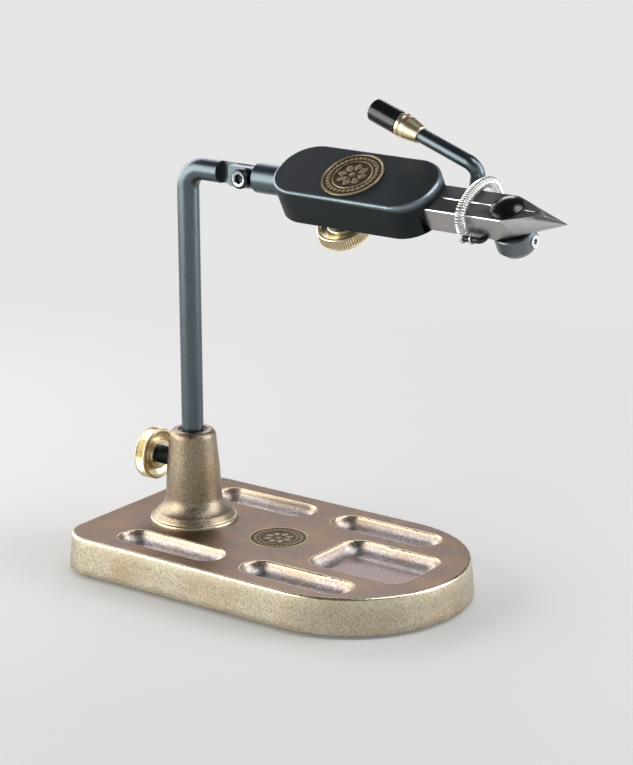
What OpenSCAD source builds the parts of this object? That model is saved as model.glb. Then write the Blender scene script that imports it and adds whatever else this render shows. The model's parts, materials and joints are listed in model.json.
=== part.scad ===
// Fly tying vise with a pedestal base, a bent stem and a cam-operated jaw head.
// Millimetres. The stem's axis is the Z axis, the pad's underside is z = 0,
// and the jaws point along +X. The head is rolled about its own shank.

/* [Base] */
// Width of the bronze casting
base_w = 101.6; // [90:0.1:112]
// Thickness of the bronze casting
base_t = 15.9; // [13:0.1:20]
// Distance from the stem to the rear edge
base_rear = 35.1; // [30:0.1:40]
// Distance from the stem to the front tip
base_front = 135.6; // [130:0.1:150]
// Radius of the two rear corners
rear_corner_r = 15; // [10:0.5:20]
// How much wider the casting is at its foot, each side
base_draft = 1.4; // [0.5:0.1:2]
// Radius of the casting's upper edge
base_edge_r = 2; // [1:0.1:3]
// Thickness of the non-slip pad
pad_t = 1.5; // [1:0.1:3]
// How far the pad lies inside the casting's foot
pad_inset = 3; // [2:0.5:6]

/* [Hook and bead pockets] */
// Depth of every pocket
pocket_depth = 6; // [4:0.1:7]
// Radius of the coves in the long pockets
trough_r = 8.35; // [7:0.05:9]
// Length of a long pocket at the rim
trough_len = 52; // [45:0.5:54]
// Distance of the long pockets from the middle line
trough_y = 34; // [32:0.5:36]
// Middle of the rear pair, measured from the stem
trough_rear_x = 13; // [10:0.5:15]
// Middle of the front pair, measured from the stem
trough_front_x = 79.5; // [76:0.5:82]
// Length and width of the wide pocket at the rim
tray_size = [46.5, 36]; // [30:0.5:48]
// Middle of the wide pocket
tray_x = 96.2; // [94:0.5:98]
// Radius of the wide pocket's coves
tray_r = 8; // [7:0.1:9]

/* [Boss and stem clamp] */
// Height of the boss above the table
boss_top = 58.2; // [54:0.1:64]
// Radius of the boss at its foot
boss_foot_r = 19.3; // [17:0.1:21]
// Height of the clamp screw's axis
clamp_z = 43; // [38:0.5:46]
// Radius of the knurled clamp knob
clamp_knob_r = 11.3; // [9:0.1:13]
// Distance of the knob's inner rim from the stem axis
clamp_knob_x = 18.7; // [16:0.1:22]

/* [Stem] */
// Diameter of the stem rod
stem_d = 9.525; // [9:0.005:10]
// Height of the horizontal arm's axis
arm_z = 174.4; // [160:0.1:200]
// Bend radius at the rod's middle line
stem_bend_r = 9; // [7:0.5:14]
// Height of the stem's lower end
stem_foot_z = 9; // [8.5:0.1:20]
// Where the half-lap's shoulder lies
lap_x = 18.5; // [16:0.1:20]
// Distance of the knuckle screw from the stem
knuckle_x = 33.2; // [31:0.1:33.5]

/* [Head] */
// Roll of the head about its shank
head_roll = 28; // [0:1:60]
// Diameter of the shank
shank_d = 12.7; // [11:0.1:12.8]
// Rear and front ends of the housing
house_x = [52.1, 128.6]; // [50:0.1:132]
// Width of the housing
house_w = 31.6; // [30:0.1:34]
// Lower and upper face of the housing, from the shank axis
house_z = [-7.3, 9]; // [-9:0.1:10]
// Radius of the housing's corners, seen from above
house_r = 14.5; // [12:0.1:15.6]
// Radius of the housing's upper edge
house_edge_r = 1.2; // [0.8:0.1:2]
// Distance of the lock screw from the stem
lock_x = 74.5; // [74:0.5:80]
// Radius of the lock knob
lock_knob_r = 11.3; // [10:0.1:13]

/* [Jaws] */
// Length of the jaws' pointed tips, measured from the stem
jaw_tip_x = 187.3; // [180:0.1:190]
// Half of the jaws' width over both jaws
jaw_half_w = 8; // [7:0.1:8.2]
// Lower and upper face of the jaws, from the shank axis
jaw_z = [-6.4, 4]; // [-6.5:0.1:4.1]
// Half angle of the nose cone
nose_angle = 18.8; // [15:0.1:22]
// Distance of the cam from the stem
cam_x = 161; // [158:0.5:163]
// Radius of the cam's dome
dome_r = 6.8; // [6.8:0.1:7.4]

/* [Lever] */
// Diameter of the lever rod
lever_d = 6; // [5:0.1:6.2]
// Diameter of the grip
grip_d = 10; // [9:0.1:11]
// Length of the grip
grip_len = 14.8; // [12:0.1:20]
// Length of the brass ferrule
ferrule_len = 11.2; // [8:0.1:12]

/* [Material spring] */
// Outer radius of the coil
coil_r = 2.2; // [2:0.1:2.3]
// Diameter of the spring's wire
wire_d = 0.5; // [0.4:0.05:0.5]
// Number of turns
turns = 30; // [20:1:30]

/* [Hidden] */
$fn = 64;

// Radial clearance of a piece that turns or slides, and of one that is fixed
run = 0.05;
thin = 0.02;
base_top = pad_t + base_t;
nose_r = base_w / 2;
nose_x = base_front - nose_r;
stem_r = stem_d / 2;
bush_r = 6.35;
bush_bottom = 4.5;
bush_top = boss_top - 0.6;
bush_slot = 1;
stud_r = 4;
clamp_pad_t = 2.4;
stud_nose_r = 2;
stud_nose_len = 1.2;
clamp_back = bush_r + run + clamp_pad_t;
knob_t = 6;
medal_x = 46.5;
medal_r = 13;
medal_t = 1.2;
shank_r = shank_d / 2;
bore_r = shank_r + run;
lock_bush_r = 5.6;
lock_back = shank_r + run + clamp_pad_t;
lock_knob_z = 18.6;
lap_gap = 0.35;
washer_t = 0.5;
tongue_y = 4.1;
tongue_half_h = 4.35;
tongue_x = 25;
shoulder_x = 38.4;
screw_r = 2.5;
screw_head_r = 4.3;
screw_head_t = 4;
shank_end_x = 96;
house_foot = 0.5;
cavity_x = 98.5;
cavity_half_w = 10.4;
jaw_rear_x = 99.2;
jaw_pin_x = 104;
jaw_pin_y = 4;
jaw_pin_r = 1.5;
pin_top = 6;
jaw_gap = 0.15;
nose_gap = 0.05;
cam_half = [6.1, 2];
head_medal_x = 89;
head_medal_r = 13.4;
head_medal_sink = 0.7;
hub_r = 8.5;
hub_z = [-16.4, -7.2];
spigot_r = 3.5;
lever_r = lever_d / 2;
lever_a = [131.5, 17.2, -11.5];
lever_b = [140.2, 15.7, 8.5];
lever_c = [86.2, 28, 21];
lever_bend_r = 4.5;
hub_screw_r = 2.5;
bar_x = [143.2, 153];
bar_y = -10.9;
bar_z = -5.4;
bar_r = 1.3;
bar_sink = 2.4;
bronze = "#9c7d57";
brass = "#d8b765";
steel = "#3c4348";
black = "#1d2226";
bright = "#b9bcbd";

function unit(v) = v / norm(v);
function arc_points(cx, cy, r, a0, a1, n) =
    [for (i = [0:n]) let (a = a0 + (a1 - a0) * i / n) [cx + r * cos(a), cy + r * sin(a)]];

// Moves a shape from the head's own frame, with its origin on the shank axis, to the vise
module head_frame() {
    translate([0, 0, arm_z])
        rotate([head_roll, 0, 0])
            children();
}

// Lays a shape that stands on Z along +X
module along_x() {
    rotate([0, 90, 0])
        children();
}

module rod_x(x0, x1, r) {
    translate([x0, 0, 0])
        along_x()
            cylinder(r = r, h = x1 - x0);
}

module rod_y(y0, y1, r) {
    translate([0, y1, 0])
        rotate([90, 0, 0])
            cylinder(r = r, h = y1 - y0);
}

// Points along a rounded corner between two straight stretches of a bent rod
function elbow_points(before, corner, after, bend_r, steps) =
    let (u = unit(corner - before), v = unit(after - corner), turn = acos(u * v),
        n = unit(v - u * (u * v)), centre = corner - u * bend_r * tan(turn / 2) + n * bend_r)
    [for (i = [0:steps]) let (a = turn * i / steps) centre + bend_r * (u * sin(a) - n * cos(a))];

// Rings of a round rod swept along its points, each square to the way there. The rod never runs
// along aside, which only sets where each ring starts.
function rod_rings(path, r, count, aside) =
    let (last = len(path) - 1)
    [for (i = [0:last])
        let (t = unit(path[min(i + 1, last)] - path[max(i - 1, 0)]),
            a = unit(cross(t, aside)), b = cross(t, a))
        [for (k = [0:count - 1])
            path[i] + r * (a * cos(360 * k / count) + b * sin(360 * k / count))]];

module tube(rings, count) {
    last = len(rings) - 1;
    points = [for (ring = rings) each ring];
    walls = [for (i = [0:last - 1], k = [0:count - 1])
        let (a = i * count + k, b = i * count + (k + 1) % count)
        each [[a, b, b + count], [a, b + count, a + count]]];
    caps = concat([for (k = [1:count - 2]) [0, k + 1, k]],
        [for (k = [1:count - 2]) [last * count, last * count + k, last * count + k + 1]]);
    polyhedron(points = points, faces = concat(walls, caps));
}

// A straight round bar between two points
module bar(a, b, r) {
    d = b - a;
    translate(a)
        rotate([0, acos(d[2] / norm(d)), atan2(d[1], d[0])])
            cylinder(r = r, h = norm(d));
}

// The casting's outline as three corner rounds of one layer, drawn in or let out by inset
module base_layer(z, inset) {
    translate([nose_x, 0, z])
        cylinder(r = nose_r - inset, h = 0.01, $fn = 96);
    for (side = [-1, 1])
        translate([-base_rear + rear_corner_r, side * (base_w / 2 - rear_corner_r), z])
            cylinder(r = rear_corner_r - inset, h = 0.01, $fn = 32);
}

module base_body() {
    hull() {
        base_layer(pad_t, -base_draft);
        base_layer(base_top - base_edge_r, -base_draft * base_edge_r / base_t);
        for (a = [25:25:75])
            base_layer(base_top - base_edge_r * (1 - sin(a)), base_edge_r * (1 - cos(a)));
        base_layer(base_top - 0.01, base_edge_r);
    }
}

// A long pocket: a round trough with a ball-shaped cove at each end
module trough(x, y) {
    rise = trough_r - pocket_depth;
    rim = sqrt(trough_r * trough_r - rise * rise);
    half = trough_len / 2 - rim;
    translate([x, y, base_top + rise]) {
        rod_x(-half, half, trough_r);
        for (end = [-1, 1])
            translate([end * half, 0, 0])
                sphere(r = trough_r);
    }
}

// The wide pocket: a flat floor with coved walls and ball-shaped corners
module tray() {
    rise = tray_r - pocket_depth;
    rim = sqrt(tray_r * tray_r - rise * rise);
    hx = tray_size[0] / 2 - rim;
    hy = tray_size[1] / 2 - rim;
    translate([tray_x, 0, base_top + rise])
        hull()
            for (i = [-1, 1], j = [-1, 1])
                translate([i * hx, j * hy, 0])
                    sphere(r = tray_r, $fn = 32);
}

// The bell-shaped boss: a bead at the foot, a hollow flare, a slight taper and a rounded mouth
module boss() {
    flare_r = 9;
    bead_r = 1;
    mouth_r = 3;
    neck = [12.4, base_top + 11.6];
    foot = boss_foot_r - bead_r;
    rotate_extrude($fn = 96)
        polygon(concat(
            [[0, base_top - 1], [boss_foot_r, base_top - 1]],
            arc_points(foot, base_top + 0.5, bead_r, 0, 80, 4),
            arc_points(neck[0] + flare_r * 0.98, neck[1], flare_r, 237, 188, 9),
            [[11.6, clamp_z - 2], [10.4, boss_top - 5]],
            arc_points(10.2 - mouth_r, boss_top - mouth_r, mouth_r, 0, 90, 6),
            [[0, boss_top]]));
}

module base_casting() {
    color(bronze)
        difference() {
            union() {
                base_body();
                boss();
            }
            for (side = [-1, 1]) {
                trough(trough_rear_x, side * trough_y);
                trough(trough_front_x, side * trough_y);
            }
            tray();
            translate([medal_x, 0, base_top - medal_t - 0.1])
                cylinder(r = medal_r + 0.1, h = 5);
            translate([0, 0, bush_bottom - 0.2])
                cylinder(r = bush_r + run, h = boss_top);
            translate([0, 0, clamp_z])
                rod_x(-boss_foot_r - 2, 0, stud_r + run);
        }
}

module base_pad() {
    inner_r = rear_corner_r - pad_inset;
    color(black)
        linear_extrude(pad_t)
            union() {
                translate([nose_x, 0])
                    circle(r = nose_r - pad_inset, $fn = 96);
                for (side = [-1, 1])
                    translate([-base_rear + rear_corner_r, side * (base_w / 2 - rear_corner_r)])
                        circle(r = inner_r);
                translate([-base_rear + rear_corner_r, -base_w / 2 + pad_inset])
                    square([nose_x + base_rear - rear_corner_r, base_w - 2 * pad_inset]);
                translate([-base_rear + pad_inset, -base_w / 2 + rear_corner_r])
                    square([rear_corner_r, base_w - 2 * rear_corner_r]);
            }
}

// A round plaque with a raised rim and a plain inner field
module medallion(r, t) {
    rim = 0.9;
    difference() {
        rotate_extrude($fn = 96)
            polygon([[0, 0], [r, 0], [r, t - 0.3], [r - 0.3, t], [r - rim, t],
                [r - rim - 0.2, t - 0.35], [0, t - 0.35]]);
        for (i = [0:11])
            rotate([0, 0, i * 30])
                translate([r * 0.72, 0, t - 0.6])
                    cylinder(r = 0.9, h = 1);
    }
}

module base_medallion() {
    color("#7c6335")
        translate([medal_x, 0, base_top - medal_t])
            medallion(medal_r, medal_t);
}

module stem_bush() {
    color(black)
        difference() {
            translate([0, 0, bush_bottom])
                cylinder(r = bush_r, h = bush_top - bush_bottom);
            translate([0, 0, bush_bottom - 1])
                cylinder(r = stem_r + run, h = boss_top);
            translate([-bush_slot / 2, 0, clamp_z - 20])
                cube([bush_slot, 10, 40]);
        }
}

// The pressure pad: a short plug along +Z whose face is hollowed to fit the round piece, with its
// axis on Y, that it grips. Its other end, at z = back, has a socket for the screw's nose.
module pressure_pad(grip_r, back) {
    difference() {
        translate([0, 0, grip_r - 1.5])
            cylinder(r = stud_r, h = back - grip_r + 1.5);
        rod_y(-10, 10, grip_r + run);
        translate([0, 0, back - stud_nose_len - thin])
            cylinder(r = stud_nose_r + thin, h = 5);
    }
}

// Threaded stud with a small nose that turns in the pad
module screw_stud(back, end) {
    translate([0, 0, back + thin])
        cylinder(r = stud_r, h = end - back - thin);
    translate([0, 0, back - stud_nose_len + thin])
        cylinder(r = stud_nose_r, h = stud_nose_len);
}

// Knurled brass knob with a dished inner face, its axis along +Z and its inner rim at z = 0
module knob(r) {
    t = knob_t;
    rotate_extrude($fn = 96)
        polygon([[stud_r + thin, -0.6], [6.2, -0.6], [6.7, -0.1], [7, 1.8], [r - 1.7, 0.6],
            [r - 1.3, 0], [r - 0.4, 0], [r, 0.4], [r, t - 0.7], [r - 0.7, t], [r - 3, t],
            [r - 3.4, t - 0.3], [0, t - 0.3], [0, t - 1.5 + thin], [stud_r + thin, t - 1.5 + thin]]);
}

// Puts a shape whose axis is +Z on the clamp screw's axis, pointing away from the boss
module clamp_axis() {
    translate([0, 0, clamp_z])
        rotate([0, -90, 0])
            children();
}

module clamp_pad() {
    color(bright)
        clamp_axis()
            rotate([0, 0, 90])
                pressure_pad(bush_r, clamp_back);
}

module clamp_stud() {
    color(black)
        clamp_axis()
            screw_stud(clamp_back, clamp_knob_x + knob_t - 1.5);
}

module clamp_knob() {
    color(brass)
        clamp_axis()
            translate([0, 0, clamp_knob_x])
                knob(clamp_knob_r);
}

module stem() {
    color(steel)
        difference() {
            union() {
                translate([0, 0, stem_foot_z])
                    cylinder(r = stem_r, h = arm_z - stem_bend_r - stem_foot_z);
                translate([stem_bend_r, 0, arm_z - stem_bend_r])
                    rotate([90, 0, 0])
                        rotate([0, 0, 90])
                            rotate_extrude(angle = 90)
                                translate([stem_bend_r, 0])
                                    circle(r = stem_r);
                translate([0, 0, arm_z])
                    rod_x(stem_bend_r, knuckle_x, stem_r);
                translate([knuckle_x, 0, arm_z])
                    intersection() {
                        rod_x(-1, stem_r + 1, stem_r);
                        rod_y(-stem_r, stem_r, stem_r);
                    }
            }
            translate([lap_x, -10, arm_z - 10])
                cube([30, 10 + lap_gap, 20]);
            translate([knuckle_x, 0, arm_z])
                rod_y(-1, 10, screw_r + thin);
        }
}

module knuckle_washer() {
    color(bright)
        translate([knuckle_x, 0, arm_z])
            difference() {
                rod_y(-washer_t / 2, washer_t / 2, 4.2);
                rod_y(-1, 1, screw_r + run);
            }
}

// Socket-head screw that holds the half-lap together
module knuckle_screw() {
    face = -tongue_y - 0.1;
    color(steel)
        translate([knuckle_x, 0, arm_z])
            difference() {
                rotate([-90, 0, 0])
                    rotate_extrude($fn = 96)
                        polygon([[0, face - screw_head_t],
                            [screw_head_r - 0.5, face - screw_head_t],
                            [screw_head_r, face - screw_head_t + 0.5], [screw_head_r, face],
                            [screw_r, face], [screw_r, 4.4], [0, 4.4]]);
                translate([0, face - screw_head_t + 2.4, 0])
                    rotate([90, 0, 0])
                        cylinder(r = 2.3, h = 5, $fn = 6);
            }
}

// The shank: a flat tongue for the half-lap, and a round bar that the head turns on
module head_shank() {
    color(steel)
        translate([0, 0, arm_z])
            difference() {
                union() {
                    rod_x(shoulder_x, shank_end_x, shank_r);
                    translate([tongue_x, -tongue_y, -tongue_half_h])
                        cube([shoulder_x - tongue_x + 2, tongue_y - lap_gap, 2 * tongue_half_h]);
                }
                translate([knuckle_x, 0, 0])
                    rod_y(-20, 20, screw_r + run);
                translate([tongue_x, -10, tongue_half_h])
                    rotate([0, -45, 0])
                        translate([-5, 0, -0.5])
                            cube([10, 20, 5]);
                translate([tongue_x, -10, -tongue_half_h])
                    rotate([0, 45, 0])
                        translate([-5, 0, -4.5])
                            cube([10, 20, 5]);
            }
}

// The housing's outer shape, drawn tight over a turned post at each of its four corners
module house_body() {
    hull()
        for (x = [house_x[0] + house_r, house_x[1] - house_r], side = [-1, 1])
            translate([x, side * (house_w / 2 - house_r), 0])
                rotate_extrude()
                    polygon(concat(
                        [[0, house_z[0]], [house_r - house_foot, house_z[0]],
                            [house_r, house_z[0] + house_foot]],
                        arc_points(house_r - house_edge_r, house_z[1] - house_edge_r,
                            house_edge_r, 0, 90, 4),
                        [[0, house_z[1]]]));
}

module head_housing() {
    color(black)
        head_frame()
            difference() {
                house_body();
                rod_x(house_x[0] - 5, shank_end_x + 0.4, bore_r);
                translate([cavity_x, -cavity_half_w, jaw_z[0] - 0.3])
                    cube([40, 2 * cavity_half_w, jaw_z[1] - jaw_z[0] + 0.6]);
                translate([head_medal_x, 0, house_z[1] - head_medal_sink])
                    cylinder(r = head_medal_r + 0.1, h = 5);
                translate([lock_x, 0, house_z[0] - 1])
                    cylinder(r = lock_bush_r + thin, h = -house_z[0]);
                for (side = [-1, 1])
                    translate([jaw_pin_x, side * jaw_pin_y, house_z[0] - 1])
                        cylinder(r = jaw_pin_r + thin, h = pin_top - house_z[0] + 1 + thin);
            }
}

module head_medallion() {
    color("#8a7347")
        head_frame()
            translate([head_medal_x, 0, house_z[1] - head_medal_sink + thin])
                medallion(head_medal_r, medal_t);
}

// Two dowels that the jaws turn on, pressed in from below
module jaw_pins() {
    color(bright)
        head_frame()
            for (side = [-1, 1])
                translate([jaw_pin_x, side * jaw_pin_y, house_z[0] + 0.2])
                    cylinder(r = jaw_pin_r, h = pin_top - house_z[0] - 0.2);
}

// A bowed leaf between the jaw and the housing's wall, which keeps the jaw shut
module jaw_spring(side) {
    middle_x = 115.5;
    half_len = 8;
    leaf_t = 0.3;
    bow_y = jaw_half_w + thin;
    bow = cavity_half_w - bow_y - leaf_t - 2 * thin;
    leaf_r = (half_len * half_len + bow * bow) / (2 * bow);
    head_frame()
        intersection() {
            translate([middle_x, side * (bow_y + leaf_r), -4])
                difference() {
                    cylinder(r = leaf_r, h = 6, $fn = 128);
                    translate([0, 0, -1])
                        cylinder(r = leaf_r - leaf_t, h = 8, $fn = 128);
                }
            translate([middle_x - half_len, side > 0 ? 0 : -cavity_half_w + thin, -5])
                cube([2 * half_len, cavity_half_w - thin, 10]);
        }
}

module jaw_spring_left() {
    color(bright)
        jaw_spring(1);
}

module jaw_spring_right() {
    color(bright)
        jaw_spring(-1);
}

// Puts a shape whose axis is +Z on the lock screw's axis, pointing down from the housing
module lock_axis() {
    head_frame()
        translate([lock_x, 0, 0])
            rotate([180, 0, 0])
                children();
}

// Threaded brass bush in the housing's underside
module lock_bush() {
    color(brass)
        lock_axis()
            difference() {
                union() {
                    cylinder(r = lock_bush_r, h = 5 - house_z[0]);
                    translate([0, 0, thin - house_z[0]])
                        cylinder(r = lock_bush_r + 1.4, h = 1.4);
                }
                rod_x(-10, 10, shank_r + 0.1);
                cylinder(r = stud_r + run, h = 30);
            }
}

module lock_pad() {
    color(bright)
        lock_axis()
            rotate([0, 0, 90])
                pressure_pad(shank_r, lock_back);
}

module lock_stud() {
    color(steel)
        lock_axis()
            screw_stud(lock_back, lock_knob_z + knob_t - 1.5);
}

module lock_knob() {
    color(brass)
        lock_axis()
            translate([0, 0, lock_knob_z])
                knob(lock_knob_r);
}

// One jaw: half of a square bar that runs out into half of a cone, with the cam's slot
module jaw(side) {
    slope = tan(nose_angle);
    apex_x = jaw_tip_x + 0.4;
    cone_x = 145;
    slot_half = [cam_half[0] + 0.7, cam_half[1] + run];
    height = jaw_z[1] - jaw_z[0];
    head_frame()
        difference() {
            intersection() {
                translate([jaw_rear_x, side > 0 ? nose_gap : -jaw_half_w, jaw_z[0]])
                    cube([jaw_tip_x - jaw_rear_x, jaw_half_w - nose_gap, height]);
                union() {
                    translate([jaw_rear_x - 1, -10, -10])
                        cube([cone_x - jaw_rear_x + 1, 20, 20]);
                    translate([cone_x, 0, 0])
                        along_x()
                            cylinder(r1 = (apex_x - cone_x) * slope, r2 = 0.4 * slope,
                                h = jaw_tip_x - cone_x, $fn = 96);
                }
            }
            translate([jaw_rear_x - 1, -jaw_gap, -10])
                cube([175 - jaw_rear_x, 2 * jaw_gap, 20]);
            translate([jaw_rear_x - 1, -0.5, -10])
                cube([10, 1, 20]);
            translate([jaw_pin_x, side * jaw_pin_y, -10])
                cylinder(r = jaw_pin_r + run, h = 20);
            translate([cam_x - slot_half[0], -slot_half[1], -10])
                cube([2 * slot_half[0], 2 * slot_half[1], 20]);
            if (side < 0)
                translate([bar_x[1], 0, bar_z])
                    rod_y(-20, -jaw_half_w + bar_sink, bar_r + thin);
        }
}

module jaw_left() {
    color("#6d6a66")
        jaw(1);
}

module jaw_right() {
    color("#6d6a66")
        jaw(-1);
}

// The bent pin beside the near jaw that both ends of the material spring hook on
module spring_bar() {
    color(steel)
        head_frame() {
            translate([0, bar_y, bar_z])
                rod_x(bar_x[0], bar_x[1], bar_r);
            translate([bar_x[1], bar_y, bar_z])
                sphere(r = bar_r);
            translate([bar_x[1], 0, bar_z])
                rod_y(bar_y, -jaw_half_w + bar_sink - thin, bar_r);
            translate([bar_x[0] - 0.6, bar_y, bar_z])
                along_x()
                    cylinder(r = bar_r + 0.5, h = 0.6);
        }
}

// The spring's middle line in the head's cross-section: up beside the near jaw, over both jaws in
// three arcs, and down beside the far jaw, while it drifts forwards along spring_x
spring_x = [144.8, 148.3];
spring_y = [bar_y, 14];
spring_low = [-2.5, -5];
near_top = 2.5;
near_arc_r = 6;
far_arc_r = 8;
side_turn = 65;
ring_steps = 8;
sides = 6;
arc_width = (near_arc_r + far_arc_r) * (1 - cos(side_turn));
crown_r = (spring_y[1] - spring_y[0] - arc_width) / (2 * cos(side_turn));
far_top = near_top + (near_arc_r - far_arc_r) * sin(side_turn);
near_centre = [spring_y[0] + near_arc_r, near_top];
crown_centre = near_centre + (crown_r - near_arc_r) * [cos(side_turn), -sin(side_turn)];
far_centre = [spring_y[1] - far_arc_r, far_top];
degree = PI / 180;
near_end = near_top - spring_low[0];
crown_start = near_end + near_arc_r * side_turn * degree;
crown_end = crown_start + crown_r * (180 - 2 * side_turn) * degree;
far_start = crown_end + far_arc_r * side_turn * degree;
path_len = far_start + far_top - spring_low[1];

function on_arc(centre, r, a) = [centre[0] + r * cos(a), centre[1] + r * sin(a)];

// Place in the cross-section at distance s along the middle line
function spring_section(s) =
    s < near_end ? [spring_y[0], spring_low[0] + s] :
    s < crown_start ? on_arc(near_centre, near_arc_r, 180 - (s - near_end) / near_arc_r / degree) :
    s < crown_end ?
        on_arc(crown_centre, crown_r, 180 - side_turn - (s - crown_start) / crown_r / degree) :
    s < far_start ? on_arc(far_centre, far_arc_r, side_turn - (s - crown_end) / far_arc_r / degree) :
    [spring_y[1], far_top - (s - far_start)];

function spring_point(s) =
    let (p = spring_section(s))
    [spring_x[0] + (spring_x[1] - spring_x[0]) * s / path_len, p[0], p[1]];

function spring_way(s) = unit(spring_point(s + 0.01) - spring_point(s - 0.01));

// Unit vector across the middle line, turned by an angle about it
function spring_across(s, angle) =
    let (t = spring_way(s), a = unit(cross(t, [1, 0, 0])), b = cross(t, a))
    a * cos(angle) + b * sin(angle);

function coil_point(i) =
    let (s = path_len * i / (turns * ring_steps))
    spring_point(s) + (coil_r - wire_d / 2) * spring_across(s, 360 * i / ring_steps);

function coil_way(i) = unit(coil_point(i + 0.05) - coil_point(i - 0.05));

// One ring of the wire, moved on by shift along the wire
function coil_ring(i, shift) =
    let (s = path_len * i / (turns * ring_steps), t = coil_way(i),
        e = spring_across(s, 360 * i / ring_steps), b = unit(cross(t, e)), c = cross(b, t))
    [for (k = [0:sides - 1]) coil_point(i) + t * shift
        + wire_d / 2 * (c * cos(360 * k / sides) + b * sin(360 * k / sides))];

coil_count = turns * ring_steps;
coil_rings = concat([coil_ring(0, -wire_d)], [for (i = [0:coil_count]) coil_ring(i, 0)],
    [coil_ring(coil_count, wire_d)]);
coil_mid = [for (i = [0:coil_count]) coil_point(i)];
coil_gap = min([for (i = [0:coil_count - 5], j = [i + 5:min(coil_count, i + 3 * ring_steps)])
    norm(coil_mid[i] - coil_mid[j])]) - wire_d;
echo(least_gap_of_the_coil_mm = coil_gap, triangles = 2 * sides * (len(coil_rings) - 1) + 8);

module material_spring() {
    color(bright)
        head_frame()
            tube(coil_rings, sides);
}

// The spring's end wires. Each closes a turn under its end of the coil and drops beside it. The near
// one loops round the pin, and the far one runs under the jaws to a loop of its own on the pin.
hook_r = wire_d / 2 + 0.1;
turn_r = coil_r - wire_d / 2;
end_drop = wire_d / 2 + hook_r + 0.04;
under_z = -7.45;
far_loop_r = bar_z - under_z;
corner = 0.4;

function turn_points(end, a0, a1) =
    [for (a = [a0:(a1 - a0) / 16:a1]) [spring_x[end], spring_y[end], spring_low[end] - end_drop]
        + turn_r * [cos(a), sin(a), 0]];

function loop_points(centre, r, a0, a1) =
    [for (a = [a0:(a1 - a0) / 12:a1]) centre + r * [0, cos(a), sin(a)]];

near_wire = concat(turn_points(0, 375, 90),
    loop_points([spring_x[0], bar_y, bar_z + turn_r - hook_r - bar_r - thin], turn_r, 0, -220));
far_y = spring_y[1] - turn_r;
far_wire = concat(turn_points(1, -375, -90),
    [[spring_x[1], far_y, under_z + corner], [spring_x[1], far_y - corner, under_z]],
    loop_points([spring_x[1], bar_y + far_loop_r - hook_r - bar_r - thin, bar_z],
        far_loop_r, -90, -330));

module spring_hooks() {
    color(bright)
        head_frame()
            for (wire = [near_wire, far_wire])
                tube(rod_rings(wire, hook_r, 8, [1, 0, 1]), 8);
}

// The cam: a polished dome above the jaws, a flat block between them and a round spigot below
module cam() {
    dome_h = 2.4;
    ball_r = (dome_r * dome_r + dome_h * dome_h) / (2 * dome_h);
    seat = jaw_z[1] + 0.1;
    color(black)
        head_frame()
            translate([cam_x, 0, 0]) {
                translate([0, 0, seat])
                    cylinder(r = dome_r, h = 0.5, $fn = 96);
                intersection() {
                    translate([0, 0, seat + 0.5 + dome_h - ball_r])
                        sphere(r = ball_r, $fn = 96);
                    translate([0, 0, seat + 0.5])
                        cylinder(r = dome_r + 1, h = 10);
                }
                translate([-cam_half[0], -cam_half[1], jaw_z[0] - 0.3])
                    cube([2 * cam_half[0], 2 * cam_half[1], seat - jaw_z[0] + 0.3]);
                translate([0, 0, hub_z[0] + 1])
                    cylinder(r = spigot_r, h = jaw_z[0] - hub_z[0] - 1);
            }
}

function lever_dir() = unit([lever_a[0] - cam_x, lever_a[1], 0]);

// The hub under the jaws that carries the lever, chamfered at its lower edge
module cam_hub() {
    axle_z = lever_a[2];
    color(steel)
        head_frame()
            translate([cam_x, 0, 0])
                difference() {
                    rotate_extrude($fn = 96)
                        polygon([[0, hub_z[0]], [hub_r - 2, hub_z[0]], [hub_r, hub_z[0] + 2.6],
                            [hub_r, hub_z[1] - 0.4], [hub_r - 0.4, hub_z[1]], [0, hub_z[1]]]);
                    translate([0, 0, hub_z[0] + 1 - thin])
                        cylinder(r = spigot_r + thin, h = 20);
                    translate([0, 0, axle_z])
                        bar([0, 0, 0], lever_dir() * 20, lever_r + thin);
                    translate([0, 0, axle_z])
                        rod_x(0, 20, hub_screw_r + thin);
                }
}

// Grub screw that locks the hub on the cam's spigot
module hub_screw() {
    color(bright)
        head_frame()
            translate([cam_x, 0, lever_a[2]])
                difference() {
                    rod_x(spigot_r + thin, hub_r + 0.3, hub_screw_r);
                    translate([hub_r - 1.7, 0, 0])
                        along_x()
                            cylinder(r = 1.3, h = 5, $fn = 6);
                }
}

module lever_rod() {
    hub = [cam_x, 0, lever_a[2]];
    start = hub + lever_dir() * (spigot_r + 0.1);
    end = lever_c + unit(lever_b - lever_c) * 3;
    path = concat([start],
        elbow_points(hub, lever_a, lever_b, lever_bend_r, 8),
        elbow_points(lever_a, lever_b, lever_c, lever_bend_r, 8),
        [end]);
    color(steel)
        head_frame()
            tube(rod_rings(path, lever_r, 32, [0, 1, 1]), 32);
}

// Puts a shape whose axis is +Z on the lever's handle, with z = 0 at its free end
module handle_axis() {
    d = lever_b - lever_c;
    head_frame()
        translate(lever_c)
            rotate([0, acos(d[2] / norm(d)), atan2(d[1], d[0])])
                children();
}

module lever_ferrule() {
    l = ferrule_len;
    hole = lever_r + thin;
    color(brass)
        handle_axis()
            translate([0, 0, grip_len + thin])
                rotate_extrude($fn = 96)
                    polygon([[hole, 0], [4.7, 0], [5.2, 0.5], [5.2, 1.6], [4.9, 2.6], [4.9, 4.2],
                        [3.7, l - 0.3], [3.4, l], [hole, l]]);
}

module lever_grip() {
    r = grip_d / 2;
    edge = 1.2;
    color(black)
        handle_axis()
            rotate_extrude($fn = 96)
                polygon(concat([[0, 0]], arc_points(r - edge, edge, edge, 270, 360, 5),
                    [[r, grip_len], [lever_r + thin, grip_len], [lever_r + thin, 3 - thin],
                        [0, 3 - thin]]));
}

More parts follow.
